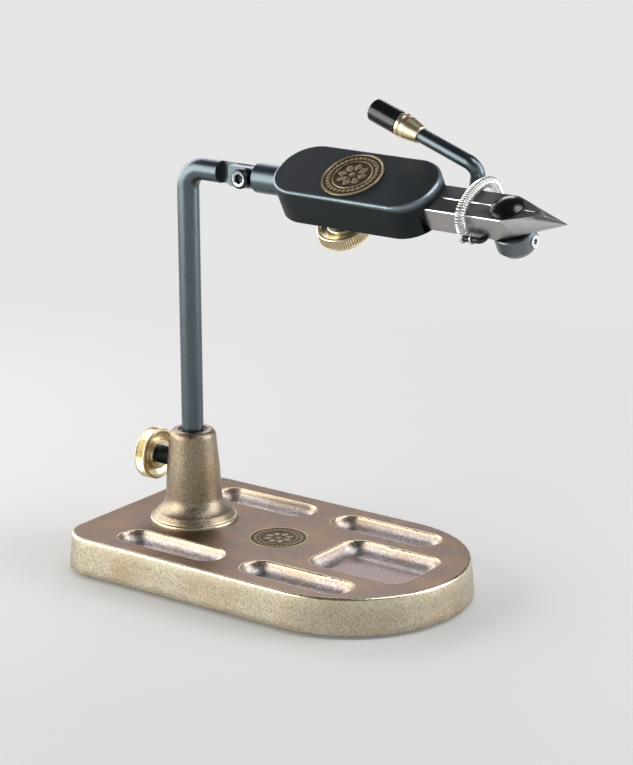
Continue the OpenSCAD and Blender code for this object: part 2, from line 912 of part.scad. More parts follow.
base_casting();
base_pad();
base_medallion();
stem_bush();
clamp_pad();
clamp_stud();
clamp_knob();
stem();
knuckle_washer();
knuckle_screw();
head_shank();
head_housing();
head_medallion();
jaw_pins();
jaw_spring_left();
jaw_spring_right();
lock_bush();
lock_pad();
lock_stud();
lock_knob();
jaw_left();
jaw_right();
spring_bar();
spring_hooks();
material_spring();
cam();
cam_hub();
hub_screw();
lever_rod();
lever_ferrule();
lever_grip();
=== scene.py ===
# %% [markdown]
# A fly tying vise holds a hook at eye height while feathers and thread are wound on it. This lesson
# dresses one that was built as exact solids: a sand-cast bronze base with pockets for hooks, a bent
# steel stem, and a rolling head whose two jaws are opened by squeezing a lever.
#
# The solids come in first, already in place and at their real size. They are the frame that every
# new surface is fitted to. A size that isn't read from them is written in millimetres.

# %% Load the frame
import bmesh
import bpy
import json
import numpy as np
from mathutils import Matrix, Vector


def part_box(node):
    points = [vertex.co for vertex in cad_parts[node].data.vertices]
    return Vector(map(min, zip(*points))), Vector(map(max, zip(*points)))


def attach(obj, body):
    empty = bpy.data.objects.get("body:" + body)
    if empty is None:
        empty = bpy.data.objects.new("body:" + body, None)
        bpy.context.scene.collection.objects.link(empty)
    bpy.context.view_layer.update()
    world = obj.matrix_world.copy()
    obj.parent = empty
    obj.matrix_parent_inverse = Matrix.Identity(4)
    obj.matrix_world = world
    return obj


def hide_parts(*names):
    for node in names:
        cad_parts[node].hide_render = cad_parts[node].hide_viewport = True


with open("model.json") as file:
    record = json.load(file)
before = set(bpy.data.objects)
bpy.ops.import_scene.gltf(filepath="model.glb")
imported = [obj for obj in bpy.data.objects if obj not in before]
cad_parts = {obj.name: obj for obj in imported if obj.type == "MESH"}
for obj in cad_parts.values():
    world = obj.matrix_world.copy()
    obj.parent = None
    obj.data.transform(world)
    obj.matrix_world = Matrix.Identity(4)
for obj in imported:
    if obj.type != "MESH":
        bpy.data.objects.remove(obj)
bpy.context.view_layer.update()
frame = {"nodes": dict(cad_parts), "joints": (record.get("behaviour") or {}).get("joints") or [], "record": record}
MM = 0.001
scene = bpy.context.scene

# %% [markdown]
# The camera stands where the photographer's did. A product photograph is taken from far away with a
# long lens, so its lines hardly converge. The lens follows from the focal length in pixels, because
# the 36 mm sensor lies along the photograph's long side.

# %% Camera
PHOTO_HEIGHT_PX = 765
FOCAL_PX = 2700
SENSOR_MM = 36.0
CAMERA_TARGET = Vector((67.16, 0.0, 90.53)) * MM
CAMERA_DISTANCE = 1128.8 * MM
CAMERA_AZIMUTH = np.radians(36.449)
CAMERA_ELEVATION = np.radians(16.557)
CAMERA_ROLL = np.radians(-0.301)


def camera_axes(azimuth, elevation, roll):
    """Right, up and back of a camera. Back points from the target to the lens; right is level and
    then turned by the roll about the line of sight."""
    back = Vector((np.sin(azimuth) * np.cos(elevation), -np.cos(azimuth) * np.cos(elevation),
                   np.sin(elevation)))
    right = (-back).cross(Vector((0, 0, 1))).normalized()
    up = right.cross(-back)
    return right * np.cos(roll) + up * np.sin(roll), up * np.cos(roll) - right * np.sin(roll), back


right, up, back = camera_axes(CAMERA_AZIMUTH, CAMERA_ELEVATION, CAMERA_ROLL)
camera_data = bpy.data.cameras.new("camera")
camera_data.sensor_width = SENSOR_MM
camera_data.lens = FOCAL_PX / PHOTO_HEIGHT_PX * SENSOR_MM
camera = bpy.data.objects.new("camera", camera_data)
scene.collection.objects.link(camera)
camera.matrix_world = Matrix.Translation(CAMERA_TARGET + back * CAMERA_DISTANCE) @ Matrix(
    (right, up, back)).transposed().to_4x4()
scene.camera = camera
scene.view_settings.view_transform = "Standard"
print("lens in mm:", round(camera_data.lens, 2))

# %% [markdown]
# Colours are written in sRGB and pass through one function to become linear. One more function adds
# a shader node. Object coordinates are in metres, so every material starts by turning them into
# millimetres, and the size of each pattern is then a length that could be measured on the real one.
#
# A node's sockets go by name or by number. On a Mix node, 0 is the share of the second colour, 6 and
# 7 are the two colours, and output 2 is the mixed one. On a Map Range node, 0 is the value, 1 and 2
# are the range that it is read from, and 3 and 4 the range that it is turned into.

# %% Shader helpers
def linear(hex_colour):
    """sRGB hex to linear RGBA: v / 12.92 below 0.04045, else ((v + 0.055) / 1.055) ** 2.4."""
    srgb = np.array([int(hex_colour[i:i + 2], 16) for i in (1, 3, 5)]) / 255
    rgb = np.where(srgb <= 0.04045, srgb / 12.92, ((srgb + 0.055) / 1.055) ** 2.4)
    return (*rgb.tolist(), 1.0)


def add(tree, kind, settings, sockets, output=0):
    """Adds one node and returns one of its outputs. settings are its own properties. sockets are
    its inputs by name or number, and each gets a value, a hex colour or another node's output."""
    made = tree.nodes.new("ShaderNode" + kind)
    for name, value in settings.items():
        setattr(made, name, value)
    for name, value in sockets.items():
        if isinstance(value, bpy.types.NodeSocket):
            tree.links.new(value, made.inputs[name])
        else:
            made.inputs[name].default_value = linear(value) if isinstance(value, str) else value
    return made.outputs[output]


COLOUR, TIMES, PLUS, MINUS, LARGER = (
    {"data_type": "RGBA"}, *({"operation": o} for o in ("MULTIPLY", "ADD", "SUBTRACT", "MAXIMUM")))


def surface(name, metallic, **constants):
    """A new material with its node tree, its surface shader and the piece's coordinates in mm."""
    material = bpy.data.materials.new(name)
    material.use_nodes = True
    tree = material.node_tree
    shader = tree.nodes["Principled BSDF"]
    shader.inputs["Metallic"].default_value = metallic
    for key, value in constants.items():
        shader.inputs[key.replace("_", " ")].default_value = value
    own = add(tree, "TexCoord", {}, {}, "Object")
    return material, tree, shader, add(tree, "VectorMath", TIMES, {0: own, 1: (1 / MM,) * 3})


def shade(tree, shader, colour, rough, height, depth_mm):
    """Gives the surface shader its colour, its roughness, and a relief of that depth made from a
    height between 0 and 1."""
    bumped = add(tree, "Bump", {}, {"Height": height, "Distance": depth_mm * MM})
    for socket, output in (("Base Color", colour), ("Roughness", rough), ("Normal", bumped)):
        tree.links.new(output, shader.inputs[socket])


print("linear value of a mid grey:", round(linear("#808080")[0], 3))

# %% [markdown]
# Metal shows what it reflects, so the surroundings matter as much as the lamps. Large soft boxes
# left and right of the vise draw the long light bands on the stem and the boss. A smaller one at the
# side brightens the left flanks, one behind fills the pockets, and one overhead traces the edges.

# %% Soft boxes
SOFT_BOXES = (
    # name, place, aimed at, width and height in mm, watts, colour
    ("box_left", (-385, -450, 270), (20, 0, 90), (680, 520), 4.8, "#fffdf8"),
    ("box_side", (-640, 40, 270), (20, 0, 110), (420, 400), 2.0, "#fffdf8"),
    ("box_right", (600, 350, 320), (60, 0, 110), (480, 640), 4.6, "#f8fbff"),
    ("box_rear", (-330, 330, 400), (50, 0, 20), (560, 300), 1.7, "#f6f2ff"),
    ("box_top", (420, 60, 740), (70, 0, 80), (400, 340), 1.9, "#ffffff"),
)
for name, place, aim, size, watts, colour in SOFT_BOXES:
    lamp = bpy.data.lights.new(name, "AREA")
    lamp.shape = "ELLIPSE" if name == "box_top" else "RECTANGLE"
    lamp.size, lamp.size_y = (s * MM for s in size)
    lamp.energy = watts
    lamp.color = linear(colour)[:3]
    box = bpy.data.objects.new(name, lamp)
    scene.collection.objects.link(box)
    box.location = Vector(place) * MM
    box.rotation_euler = (Vector(aim) - Vector(place)).to_track_quat("-Z", "Y").to_euler()
print("soft boxes:", len(SOFT_BOXES))

# %% [markdown]
# The walls are pale near the floor and darker above, which keeps the flat tops quiet. A picture of a
# studio could stand all round instead. A blend by how steeply a ray rises does the same, and has no
# bright spots that would show in the metal.

# %% Walls
WALL_HEX, CEILING_HEX = "#f2f3f4", "#46494d"
# How steeply a ray rises, as a sine, where the wall begins to darken and where it is darkest
WALL_TOP, CEILING_START = 0.03, 0.4
world = bpy.data.worlds.new("studio")
world.use_nodes = True
scene.world = world
tree = world.node_tree
way = add(tree, "TexCoord", {}, {}, "Generated")
rise = add(tree, "SeparateXYZ", {}, {0: way}, "Z")
height = add(tree, "MapRange", {}, {0: rise, 1: WALL_TOP, 2: CEILING_START})
tree.links.new(add(tree, "Mix", COLOUR, {0: height, 6: WALL_HEX, 7: CEILING_HEX}, 2),
               tree.nodes["Background"].inputs["Color"])
darkest = np.degrees(np.arcsin(CEILING_START))
print("the walls are darkest from this many degrees up:", round(float(darkest)))

# %% [markdown]
# The floor is matte paper that takes the vise's shadow. Only the camera and mirrored rays see it
# glow, and farther out they see one even tone. So the ground looks pale, and no lamp has to be
# brighter for it.

# %% Floor
FLOOR_HEX, FAR_FLOOR_HEX = "#b8b8b6", "#e6e6e5"
FLOOR_HALF, FLOOR_GLOW = 3.0, 0.16
# Distance from the middle, in mm, over which the floor turns into one even tone
EVEN_FROM, EVEN_TO = 170, 480
floor_mesh = bpy.data.meshes.new("floor")
floor_corners = [(x * FLOOR_HALF, y * FLOOR_HALF, 0) for x, y in ((-1, -1), (1, -1), (1, 1), (-1, 1))]
floor_mesh.from_pydata(floor_corners, [], [(0, 1, 2, 3)])
floor = bpy.data.objects.new("floor", floor_mesh)
scene.collection.objects.link(floor)
paper, tree, shader, mm = surface("matte_paper_sweep", 0.0, Roughness=0.9)
shader.inputs["Base Color"].default_value = linear(FLOOR_HEX)
shader.inputs["Emission Color"].default_value = linear(FAR_FLOOR_HEX)
seen = add(tree, "Math", LARGER, {0: add(tree, "LightPath", {}, {}, "Is Camera Ray"),
                                  1: add(tree, "LightPath", {}, {}, "Is Glossy Ray")})
tree.links.new(add(tree, "Math", TIMES, {0: seen, 1: FLOOR_GLOW}), shader.inputs["Emission Strength"])
reach = add(tree, "VectorMath", {"operation": "LENGTH"}, {0: mm}, "Value")
distant = add(tree, "MapRange", {}, {0: reach, 1: EVEN_FROM, 2: EVEN_TO})
far = add(tree, "Math", TIMES, {0: seen, 1: distant})
even = add(tree, "Emission", {}, {"Color": FAR_FLOOR_HEX})
tree.links.new(add(tree, "MixShader", {}, {0: far, 1: shader.outputs[0], 2: even}),
               tree.nodes["Material Output"].inputs["Surface"])
floor_mesh.materials.append(paper)
print("floor, from edge to edge in m:", 2 * FLOOR_HALF)

# %% [markdown]
# Every new surface is a grid of points worked out with numpy, in millimetres and in the frame of
# the solids. A grid's rows run along the shape and its columns round it. Double points are merged,
# so that seams and poles close, and sharp edges are found by their angle.
#
# The same shapes could be built from Blender's primitives and modifiers. A grid is used because one
# formula places all of its points, and each point can carry a number for its material as well, such
# as how rubbed the metal is there.

# %% Meshes from grids
def unit(v):
    """A vector, or each row of an array of them, divided by its length."""
    return v / np.linalg.norm(v, axis=-1, keepdims=True)


def grid_faces(rows, columns, first, closed):
    """Quads of a grid whose points are numbered row by row from first. closed joins the last
    column to the first."""
    across = np.arange(columns if closed else columns - 1)
    here = first + np.arange(rows - 1)[:, None] * columns + across
    beside = first + np.arange(rows - 1)[:, None] * columns + (across + 1) % columns
    return np.stack([here, beside, beside + columns, here + columns], -1).reshape(-1, 4)


def make_piece(name, body, material, grids, replaced=(), sharp=40, merge=1e-3):
    """A closed surface from grids. Each grid is (points, closed, attributes): points has the shape
    (rows, columns, 3) in mm, and attributes gives a number in every point by name. Edges stay sharp
    from the angle sharp in degrees, and points closer than merge in mm become one."""
    points = np.concatenate([g[0].reshape(-1, 3) for g in grids]) * MM
    starts = np.cumsum([0] + [g[0].shape[0] * g[0].shape[1] for g in grids])
    faces = np.concatenate([grid_faces(*g[0].shape[:2], start, g[1])
                            for g, start in zip(grids, starts)])
    mesh = bpy.data.meshes.new(name)
    mesh.from_pydata(points.tolist(), [], faces.tolist())
    for key in sorted({k for g in grids for k in g[2]}):
        values = np.concatenate([np.broadcast_to(g[2].get(key, 0.0), g[0].shape[:2]).ravel()
                                 for g in grids]).astype(np.float32)
        mesh.attributes.new(key, "FLOAT", "POINT").data.foreach_set("value", values)
    edit = bmesh.new()
    edit.from_mesh(mesh)
    bmesh.ops.remove_doubles(edit, verts=edit.verts, dist=merge * MM)
    return finish_piece(edit, name, body, material, replaced, sharp, mesh)


def finish_piece(edit, name, body, material, replaced, sharp, mesh):
    """Turns the faces outwards, and puts the mesh on its body with the material that it is given."""
    bmesh.ops.recalc_face_normals(edit, faces=edit.faces)
    edit.to_mesh(mesh)
    edit.free()
    mesh.shade_smooth()
    mesh.set_sharp_from_angle(angle=np.radians(sharp))
    mesh.materials.append(material)
    piece = bpy.data.objects.new(name, mesh)
    scene.collection.objects.link(piece)
    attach(piece, body)
    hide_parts(*replaced)
    print(name, "vertices:", len(mesh.vertices), "faces:", len(mesh.polygons))
    return piece


print("faces of a closed grid of 3 rows and 4 columns:", len(grid_faces(3, 4, 0, True)))

# %% [markdown]
# Most parts of a vise are turned on a lathe or bent from bar. So most pieces here are a profile
# turned about an axis, or a circle carried along a path. Corners are rounded first, and long
# stretches get more points, so that wear and tool rings have rows to sit on.

# %% Profiles and paths
def revolve(profile, columns, wobble=0.0):
    """Points of a profile turned about Z: (r cos a, r sin a, height). profile is (r, height) in mm
    by row, and wobble is added to r by row and angle."""
    angle = np.linspace(0, 2 * np.pi, columns, endpoint=False)
    radius = profile[:, :1] + np.broadcast_to(wobble, (len(profile), columns))
    height = np.repeat(profile[:, 1:], columns, 1)
    return np.stack([radius * np.cos(angle), radius * np.sin(angle), height], -1)


def rounded(corners, radius, steps=5):
    """A line with its inner corners rounded. Each corner becomes a bow that leaves its two sides
    where a circle of that radius would touch them, or at 0.45 of the shorter side where that is
    nearer. On the bow a point is corner + reach * (a (1 - t)^2 + b t^2), with a and b along the
    sides and t from 0 to 1."""
    corners = np.asarray(corners, float)
    out = [corners[0]]
    for before, corner, after in zip(corners[:-2], corners[1:-1], corners[2:]):
        sides = before - corner, after - corner
        lengths = [np.linalg.norm(s) for s in sides]
        a, b = (s / length for s, length in zip(sides, lengths))
        half = np.arccos(np.clip(a @ b, -1, 1)) / 2
        reach = min(radius / np.tan(half), 0.45 * min(lengths))
        t = np.linspace(0, 1, steps)[:, None]
        bow = corner + a * reach * (1 - t) ** 2 + b * reach * t ** 2
        out += list(bow)
    return np.array(out + [corners[-1]])


def fine(line, step):
    """Points added along a line, so that none is farther than step from the next."""
    counts = np.maximum(1, np.ceil(np.linalg.norm(np.diff(line, axis=0), axis=1) / step)).astype(int)
    parts = [np.linspace(a, b, n, endpoint=False) for a, b, n in zip(line[:-1], line[1:], counts)]
    return np.concatenate(parts + [line[-1:]])


def sweep(path, radius, aside, sides):
    """Rings of a round wire along a path, each square to the path, with a closing point at each
    end. aside, one direction or one for each point, only sets where each ring starts, and the
    path never runs along it."""
    ahead = unit(np.gradient(path, axis=0))
    a = unit(np.cross(ahead, aside))
    b = np.cross(ahead, a)
    angle = np.linspace(0, 2 * np.pi, sides, endpoint=False)[:, None]
    ring = a[:, None] * np.cos(angle) + b[:, None] * np.sin(angle)
    rings = path[:, None] + radius * ring
    caps = [np.repeat(path[i][None, None], sides, 1) for i in (0, -1)]
    return np.concatenate([caps[0], rings, caps[1]])


def elbow(before, corner, after, bend_r, steps):
    """Points along a bend of that radius between two straight stretches. Each is its middle plus
    radius * (u sin t - across cos t): u is the way in, and across points to the bend's middle."""
    u, v = unit(corner - before), unit(after - corner)
    turn = np.arccos(u @ v)
    across = unit(v - u * (u @ v))
    middle = corner - u * bend_r * np.tan(turn / 2) + across * bend_r
    t = np.linspace(0, turn, steps)[:, None]
    return middle + bend_r * (u * np.sin(t) - across * np.cos(t))


def smooth_step(x):
    """0 below 0 and 1 above 1, and between them x^2 (3 - 2 x), which is level at both ends."""
    x = np.clip(x, 0, 1)
    return x * x * (3 - 2 * x)


print("points of a rounded corner:", len(rounded([(0, 0), (1, 0), (1, 1)], 0.2)))

# %% [markdown]
# The record says which finish each solid has, and the joints say where the axes are. Both are read
# once, here.

# %% What the frame says
slots = {row["node"]: row["material_slot"] for row in frame["record"]["subparts"]}
joints = {row["name"]: row for row in frame["joints"]}
print("joints:", len(joints), "finishes:", len(set(slots.values())))

# %% [markdown]
# The head has a frame of its own. It is rolled about the shank, and its up direction is the axis
# that the lever turns about, so both come from the joints.

# %% The head's own frame
HEAD_UP = unit(np.array(joints["lever_squeeze"]["axis"], float))
HEAD_SIDE = np.cross(HEAD_UP, (1.0, 0.0, 0.0))
ARM_Z = joints["head_roll"]["pos_m"][2] / MM
LOCK_X = joints["lock_knob_turn"]["pos_m"][0] / MM
CLAMP_Z = joints["clamp_knob_turn"]["pos_m"][2] / MM
CAM_X = joints["lever_squeeze"]["pos_m"][0] / MM


def on_axes(points, origin, x_way, y_way, z_way):
    """Points given along three unit vectors from an origin, moved to the solids' frame."""
    return (points[..., :1] * np.array(x_way) + points[..., 1:2] * np.array(y_way)
            + points[..., 2:] * np.array(z_way) + np.array(origin, float))


def in_head(points, x=0.0):
    """From the head's frame, with its origin on the shank's axis at that x."""
    return on_axes(points, (x, 0, ARM_Z), (1, 0, 0), HEAD_SIDE, HEAD_UP)


print("roll of the head in degrees:", round(float(np.degrees(np.arccos(HEAD_UP[2]))), 2))

# %% [markdown]
# ## Materials
#
# Sand-cast bronze keeps the grain of the sand: each grain catches the light by itself, so the
# surface sparkles. Handling and grinding polish the edges and the pocket rims, whose paler colour
# is also a painted highlight. The ground sides are paler than the patinated top, partly from the
# grinding and partly as painted light. The pockets are paler, partly as bare metal and partly as
# a painted reflection. The mesh says where, in its attributes edge, flank and bowl. Foundry sand
# is about 0.25 mm; the grain here is drawn a little coarser, so that it shows. Noise alone would
# look like cloth, so cells of one tone each are mixed in, as the facets of the grains.

# %% Bronze
GRAIN_MM, FACET_MM, CLOUD_MM, PLAQUE_GRAIN_MM = 0.36, 0.45, 16, 0.5


def cast_bronze():
    """Sand-cast bronze: a brown top, flanks paler as ground metal and as painted light, pockets
    paler as bare metal and as a painted reflection, wide warm clouds, and edges that are brighter,
    smoother and less grainy where edge is 1, as rubbed metal and as a painted highlight."""
    material, tree, shader, mm = surface("sand_cast_bronze", 1.0)
    edge, flank, bowl = (add(tree, "Attribute", {"attribute_name": name}, {}, "Fac")
                         for name in ("edge", "flank", "bowl"))
    grain = add(tree, "TexNoise", {}, {"Vector": mm, "Scale": 1 / GRAIN_MM, "Detail": 3.0})
    sparkle = add(tree, "TexVoronoi", {}, {"Vector": mm, "Scale": 1 / FACET_MM}, "Color")
    cloud = add(tree, "TexNoise", {}, {"Vector": mm, "Scale": 1 / CLOUD_MM, "Detail": 2.0})
    speckle = add(tree, "Math", PLUS, {0: add(tree, "Math", TIMES, {0: grain, 1: 0.6}),
                                       1: add(tree, "Math", TIMES, {0: sparkle, 1: 0.4})})
    spread = add(tree, "MapRange", {}, {0: speckle, 1: 0.3, 2: 0.7})
    top = add(tree, "Mix", COLOUR, {0: spread, 6: "#52412f", 7: "#877460"}, 2)
    # The flanks' paler colour is partly the ground finish and partly painted light.
    side = add(tree, "Mix", COLOUR, {0: spread, 6: "#9f937a", 7: "#ddd5c2"}, 2)
    # The pockets' pale lilac-white is partly bare cast metal and partly a painted reflection.
    hollow = add(tree, "Mix", COLOUR, {0: spread, 6: "#8c807b", 7: "#e2dcde"}, 2)
    colour = add(tree, "Mix", COLOUR, {0: flank, 6: top, 7: side}, 2)
    in_bowl = add(tree, "Math", TIMES, {0: bowl, 1: 0.8})
    colour = add(tree, "Mix", COLOUR, {0: in_bowl, 6: colour, 7: hollow}, 2)
    warm = add(tree, "MapRange", {}, {0: cloud, 1: 0.42, 2: 0.75, 4: 0.4})
    colour = add(tree, "Mix", COLOUR, {0: warm, 6: colour, 7: "#9a7648"}, 2)
    patchy = add(tree, "MapRange", {}, {0: grain, 1: 0.3, 2: 0.6, 3: 0.65, 4: 1.0})
    # Edges and rims are paler as rubbed metal and as a painted highlight.
    worn_and_highlit = add(tree, "Math", TIMES, {0: edge, 1: patchy})
    colour = add(tree, "Mix", COLOUR, {0: worn_and_highlit, 6: colour, 7: "#f1e4c4"}, 2)
    dull = add(tree, "MapRange", {}, {0: sparkle, 3: 0.28, 4: 0.44})
    rough = add(tree, "Math", MINUS, {0: dull, 1: add(tree, "Math", TIMES, {0: edge, 1: 0.12})})
    smooth = add(tree, "MapRange", {}, {0: edge, 3: 1.0, 4: 0.2})
    relief = add(tree, "Math", TIMES, {0: speckle, 1: smooth})
    shade(tree, shader, colour, rough, relief, depth_mm=0.1)
    return material


def aged_bronze():
    """Struck bronze: dark patina in the hollows of a plaque, rubbed bright on what stands up."""
    material, tree, shader, mm = surface("aged_bronze_plaque", 1.0)
    raised = add(tree, "Attribute", {"attribute_name": "raised"}, {}, "Fac")
    grain = add(tree, "TexNoise", {}, {"Vector": mm, "Scale": 1 / PLAQUE_GRAIN_MM, "Detail": 3.0})
    low = add(tree, "Mix", COLOUR, {0: grain, 6: "#3b3323", 7: "#5d523a"}, 2)
    high = add(tree, "Mix", COLOUR, {0: grain, 6: "#a8966c", 7: "#cdbd94"}, 2)
    rubbed = add(tree, "MapRange", {}, {0: raised, 1: 0.15, 2: 0.85})
    colour = add(tree, "Mix", COLOUR, {0: rubbed, 6: low, 7: high}, 2)
    rough = add(tree, "MapRange", {}, {0: raised, 3: 0.55, 4: 0.33})
    shade(tree, shader, colour, rough, grain, depth_mm=0.03)
    return material


print("grains of sand a millimetre:", round(1 / GRAIN_MM, 1))

# %% [markdown]
# Turned brass carries fine tool rings. The attribute turned is the distance in mm along a revolved
# profile, so a pattern of it makes rings, whichever way the part's axis points. Oil and dirt stay
# brown in the grooves of the knurl, where the attribute groove is 1. The tool's feed is some
# 0.1 mm; its rings are drawn at 0.35 mm to show.

# %% Brass
RING_MM, TARNISH_MM = 0.35, 3.5


def turned_brass():
    """Bare brass from the lathe: pale yellow rings, brown spots of tarnish and brown grooves."""
    material, tree, shader, mm = surface("turned_brass", 1.0)
    turned, groove = (add(tree, "Attribute", {"attribute_name": name}, {}, "Fac")
                      for name in ("turned", "groove"))
    along = add(tree, "CombineXYZ", {}, {0: turned})
    rings = add(tree, "TexNoise", {}, {"Vector": along, "Scale": 1 / RING_MM, "Detail": 2.0})
    tarnish = add(tree, "TexNoise", {}, {"Vector": mm, "Scale": 1 / TARNISH_MM, "Detail": 3.0})
    colour = add(tree, "Mix", COLOUR, {0: rings, 6: "#dccb9d", 7: "#f3ead0"}, 2)
    stained = add(tree, "MapRange", {}, {0: tarnish, 1: 0.45, 2: 0.8, 4: 0.4})
    colour = add(tree, "Mix", COLOUR, {0: stained, 6: colour, 7: "#b5945a"}, 2)
    dirty = add(tree, "Math", TIMES, {0: groove, 1: 0.6})
    colour = add(tree, "Mix", COLOUR, {0: dirty, 6: colour, 7: "#7d6233"}, 2)
    rough = add(tree, "MapRange", {}, {0: rings, 1: 0.2, 2: 0.8, 3: 0.25, 4: 0.38})
    shade(tree, shader, colour, rough, rings, depth_mm=0.02)
    return material


print("tool rings a millimetre:", round(1 / RING_MM, 1))

# %% [markdown]
# The steels differ in their grain. Ground steel has fine scratches along the stroke, blued steel
# keeps them under a dark oxide, and a drawn wire is nearly smooth. stretch draws the grain out
# along an axis, and an attribute makes a surface bright where a tool or a hand has worn it and
# where a highlight is painted.
# Real scratches and grain are below 0.1 mm; here they are several times coarser, so that they show.

# %% Steels and blacks
STEEL_PATCH_MM, SKIN_GRAIN_MM = 9, 0.45


def steel(name, dark, light, rough, grain_mm, stretch=(1, 1, 1), depth_mm=0.01):
    """Bare or oxidised steel. Its grain sets the tone, the relief and a roughness of 15 percent
    either way round rough, and wide patches are duller."""
    material, tree, shader, mm = surface(name, 1.0)
    drawn = add(tree, "VectorMath", {"operation": "DIVIDE"}, {0: mm, 1: stretch})
    grain = add(tree, "TexNoise", {}, {"Vector": drawn, "Scale": 1 / grain_mm, "Detail": 3.0})
    patch = add(tree, "TexNoise", {}, {"Vector": mm, "Scale": 1 / STEEL_PATCH_MM, "Detail": 2.0})
    rubbed = add(tree, "Attribute", {"attribute_name": "rubbed"}, {}, "Fac")
    colour = add(tree, "Mix", COLOUR, {0: grain, 6: dark, 7: light}, 2)
    dim = add(tree, "MapRange", {}, {0: patch, 1: 0.4, 2: 0.8, 4: 0.3})
    colour = add(tree, "Mix", COLOUR, {0: dim, 6: colour, 7: dark}, 2)
    colour = add(tree, "Mix", COLOUR, {0: rubbed, 6: colour, 7: "#eef1f2"}, 2)
    uneven = add(tree, "MapRange", {}, {0: grain, 1: 0.2, 2: 0.8, 3: rough * 0.85, 4: rough * 1.15})
    shade(tree, shader, colour, uneven, grain, depth_mm)
    return material


def black_anodised():
    """Anodised aluminium: a matte blue-black skin, through which the metal shows at rubbed edges,
    paler there also as a painted highlight.
    """
    material, tree, shader, mm = surface("black_anodised", 0.0, Specular_IOR_Level=0.2)
    edge = add(tree, "Attribute", {"attribute_name": "edge"}, {}, "Fac")
    grain = add(tree, "TexNoise", {}, {"Vector": mm, "Scale": 1 / SKIN_GRAIN_MM, "Detail": 3.0})
    face = add(tree, "Mix", COLOUR, {0: grain, 6: "#14191c", 7: "#20272b"}, 2)
    patchy = add(tree, "MapRange", {}, {0: grain, 1: 0.25, 2: 0.6, 3: 0.6, 4: 1.0})
    worn_and_highlit = add(tree, "Math", TIMES, {0: edge, 1: patchy})
    colour = add(tree, "Mix", COLOUR, {0: worn_and_highlit, 6: face, 7: "#93a0a8"}, 2)
    tree.links.new(add(tree, "MapRange", {}, {0: worn_and_highlit, 4: 0.9}), shader.inputs["Metallic"])
    rough = add(tree, "MapRange", {}, {0: edge, 3: 0.5, 4: 0.36})
    shade(tree, shader, colour, rough, grain, depth_mm=0.02)
    return material


def black_skin(name, dark, light, rough, grain_mm, depth_mm):
    """A black surface through which no metal shows: moulded, or coated and polished. Its grain sets
    the tone, the relief and a roughness of 20 percent either way round rough."""
    material, tree, shader, mm = surface(name, 0.0)
    grain = add(tree, "TexNoise", {}, {"Vector": mm, "Scale": 1 / grain_mm, "Detail": 3.0})
    colour = add(tree, "Mix", COLOUR, {0: grain, 6: dark, 7: light}, 2)
    uneven = add(tree, "MapRange", {}, {0: grain, 1: 0.2, 2: 0.8, 3: rough * 0.8, 4: rough * 1.2})
    shade(tree, shader, colour, uneven, grain, depth_mm)
    return material


print("width of a steel's duller patch in mm:", STEEL_PATCH_MM)

# %% [markdown]
# Each finish in the record gets its material, and every solid takes the one of its own finish.
# Pieces that are added later take theirs from the solid that they replace.

# %% Finishes
materials = {
    "cast_bronze": cast_bronze(),
    "aged_bronze": aged_bronze(),
    "turned_brass": turned_brass(),
    "black_anodised": black_anodised(),
    # Hot-blued bar of the stem, the shank and the lever: blue-grey, with soft lights along the bar
    "blued_steel": steel("blued_steel", "#4c565b", "#687379", 0.33, 0.6, (1, 1, 6)),
    # Black oxide on screws and studs: nearly black, with the sheen of oil
    "black_screw": steel("black_screw", "#2a2f33", "#464d52", 0.34, 0.5),
    # Turned and left bare, as on the grub screw: the clearest mirror of the steels
    "bright_steel": steel("bright_steel", "#a9adaf", "#cfd1d1", 0.26, 0.5),
    # Drawn spring wire: pale and almost without grain
    "spring_steel": steel("spring_steel", "#dcdcda", "#f7f7f5", 0.32, 0.8, depth_mm=0.004),
    # Hardened and ground jaws: a satin grey with fine lines along the head
    "jaw_steel": steel("jaw_steel", "#a6a7a9", "#d8d9d9", 0.34, 0.45, (5, 1, 1), 0.014),
    # The hub, as turned: a darker grey that spreads its lights
    "hub_steel": steel("hub_steel", "#5f666a", "#838c90", 0.38, 0.5, (1, 1, 4)),
    # The cam's dome, blackened and polished: black glass with one small light
    "black_polished": black_skin("black_polished", "#07080a", "#0d0f11", 0.2, 4.0, 0.0),
    # Moulded grip: deep black and glossy, with a hardly visible skin
    "grip_plastic": black_skin("grip_plastic", "#0a0c0c", "#121617", 0.2, 1.2, 0.004),
    # Non-slip rubber sheet: a dull, open grain that swallows the light
    "pad_rubber": black_skin("pad_rubber", "#141414", "#232323", 0.8, 0.8, 0.05),
    # Moulded liner of the boss: satin black
    "black_liner": black_skin("black_liner", "#131517", "#1f2224", 0.45, 0.6, 0.01),
}
# The jaws' cut edges are fresh steel, paler still as a painted highlight. Their tops are grey and
# matt from blasting, and darker as painted shade.
jaw_edge = steel("jaw_steel_edge", "#e0e1e0", "#f6f6f4", 0.3, 0.45, (5, 1, 1), 0.004)
jaw_top = steel("jaw_steel_matt_top_painted_shade", "#646566", "#939494", 0.44, 0.4, depth_mm=0.02)
for name, node in frame["nodes"].items():
    node.data.materials.clear()
    node.data.materials.append(materials[slots[name]])
print("materials:", len(materials) + 2)

# %% [markdown]
# ## The casting
#
# The base is one bronze casting, heavy enough to hold the vise still. Its pockets keep hooks and
# beads, and fingers polish their rims, which also carry a painted highlight. They could be cut
# with Boolean modifiers and their rims bevelled, but such cuts leave long thin faces that shade
# unevenly.
#
# So the plate's top is one height field. Each pocket is a ball or a roller sunk into it: at a distance
# d from the pocket's spine the floor has the height of a circle of radius R. A small circle of
# radius r rounds the rim. It touches the top from below and the pocket from outside, so its centre
# is sqrt((R + r)^2 - (rise + r)^2) from the spine, where rise is how far the ball's centre is
# above the top.

# %% Pockets
PAD_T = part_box("base_pad")[1].z / MM
BOSS_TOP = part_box("base_casting")[1].z / MM
BASE_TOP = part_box("base_medallion")[1].z / MM
POCKET_DEPTH, RIM_R, RIM_POLISH_AND_HIGHLIGHT = 6.0, 0.8, 0.75
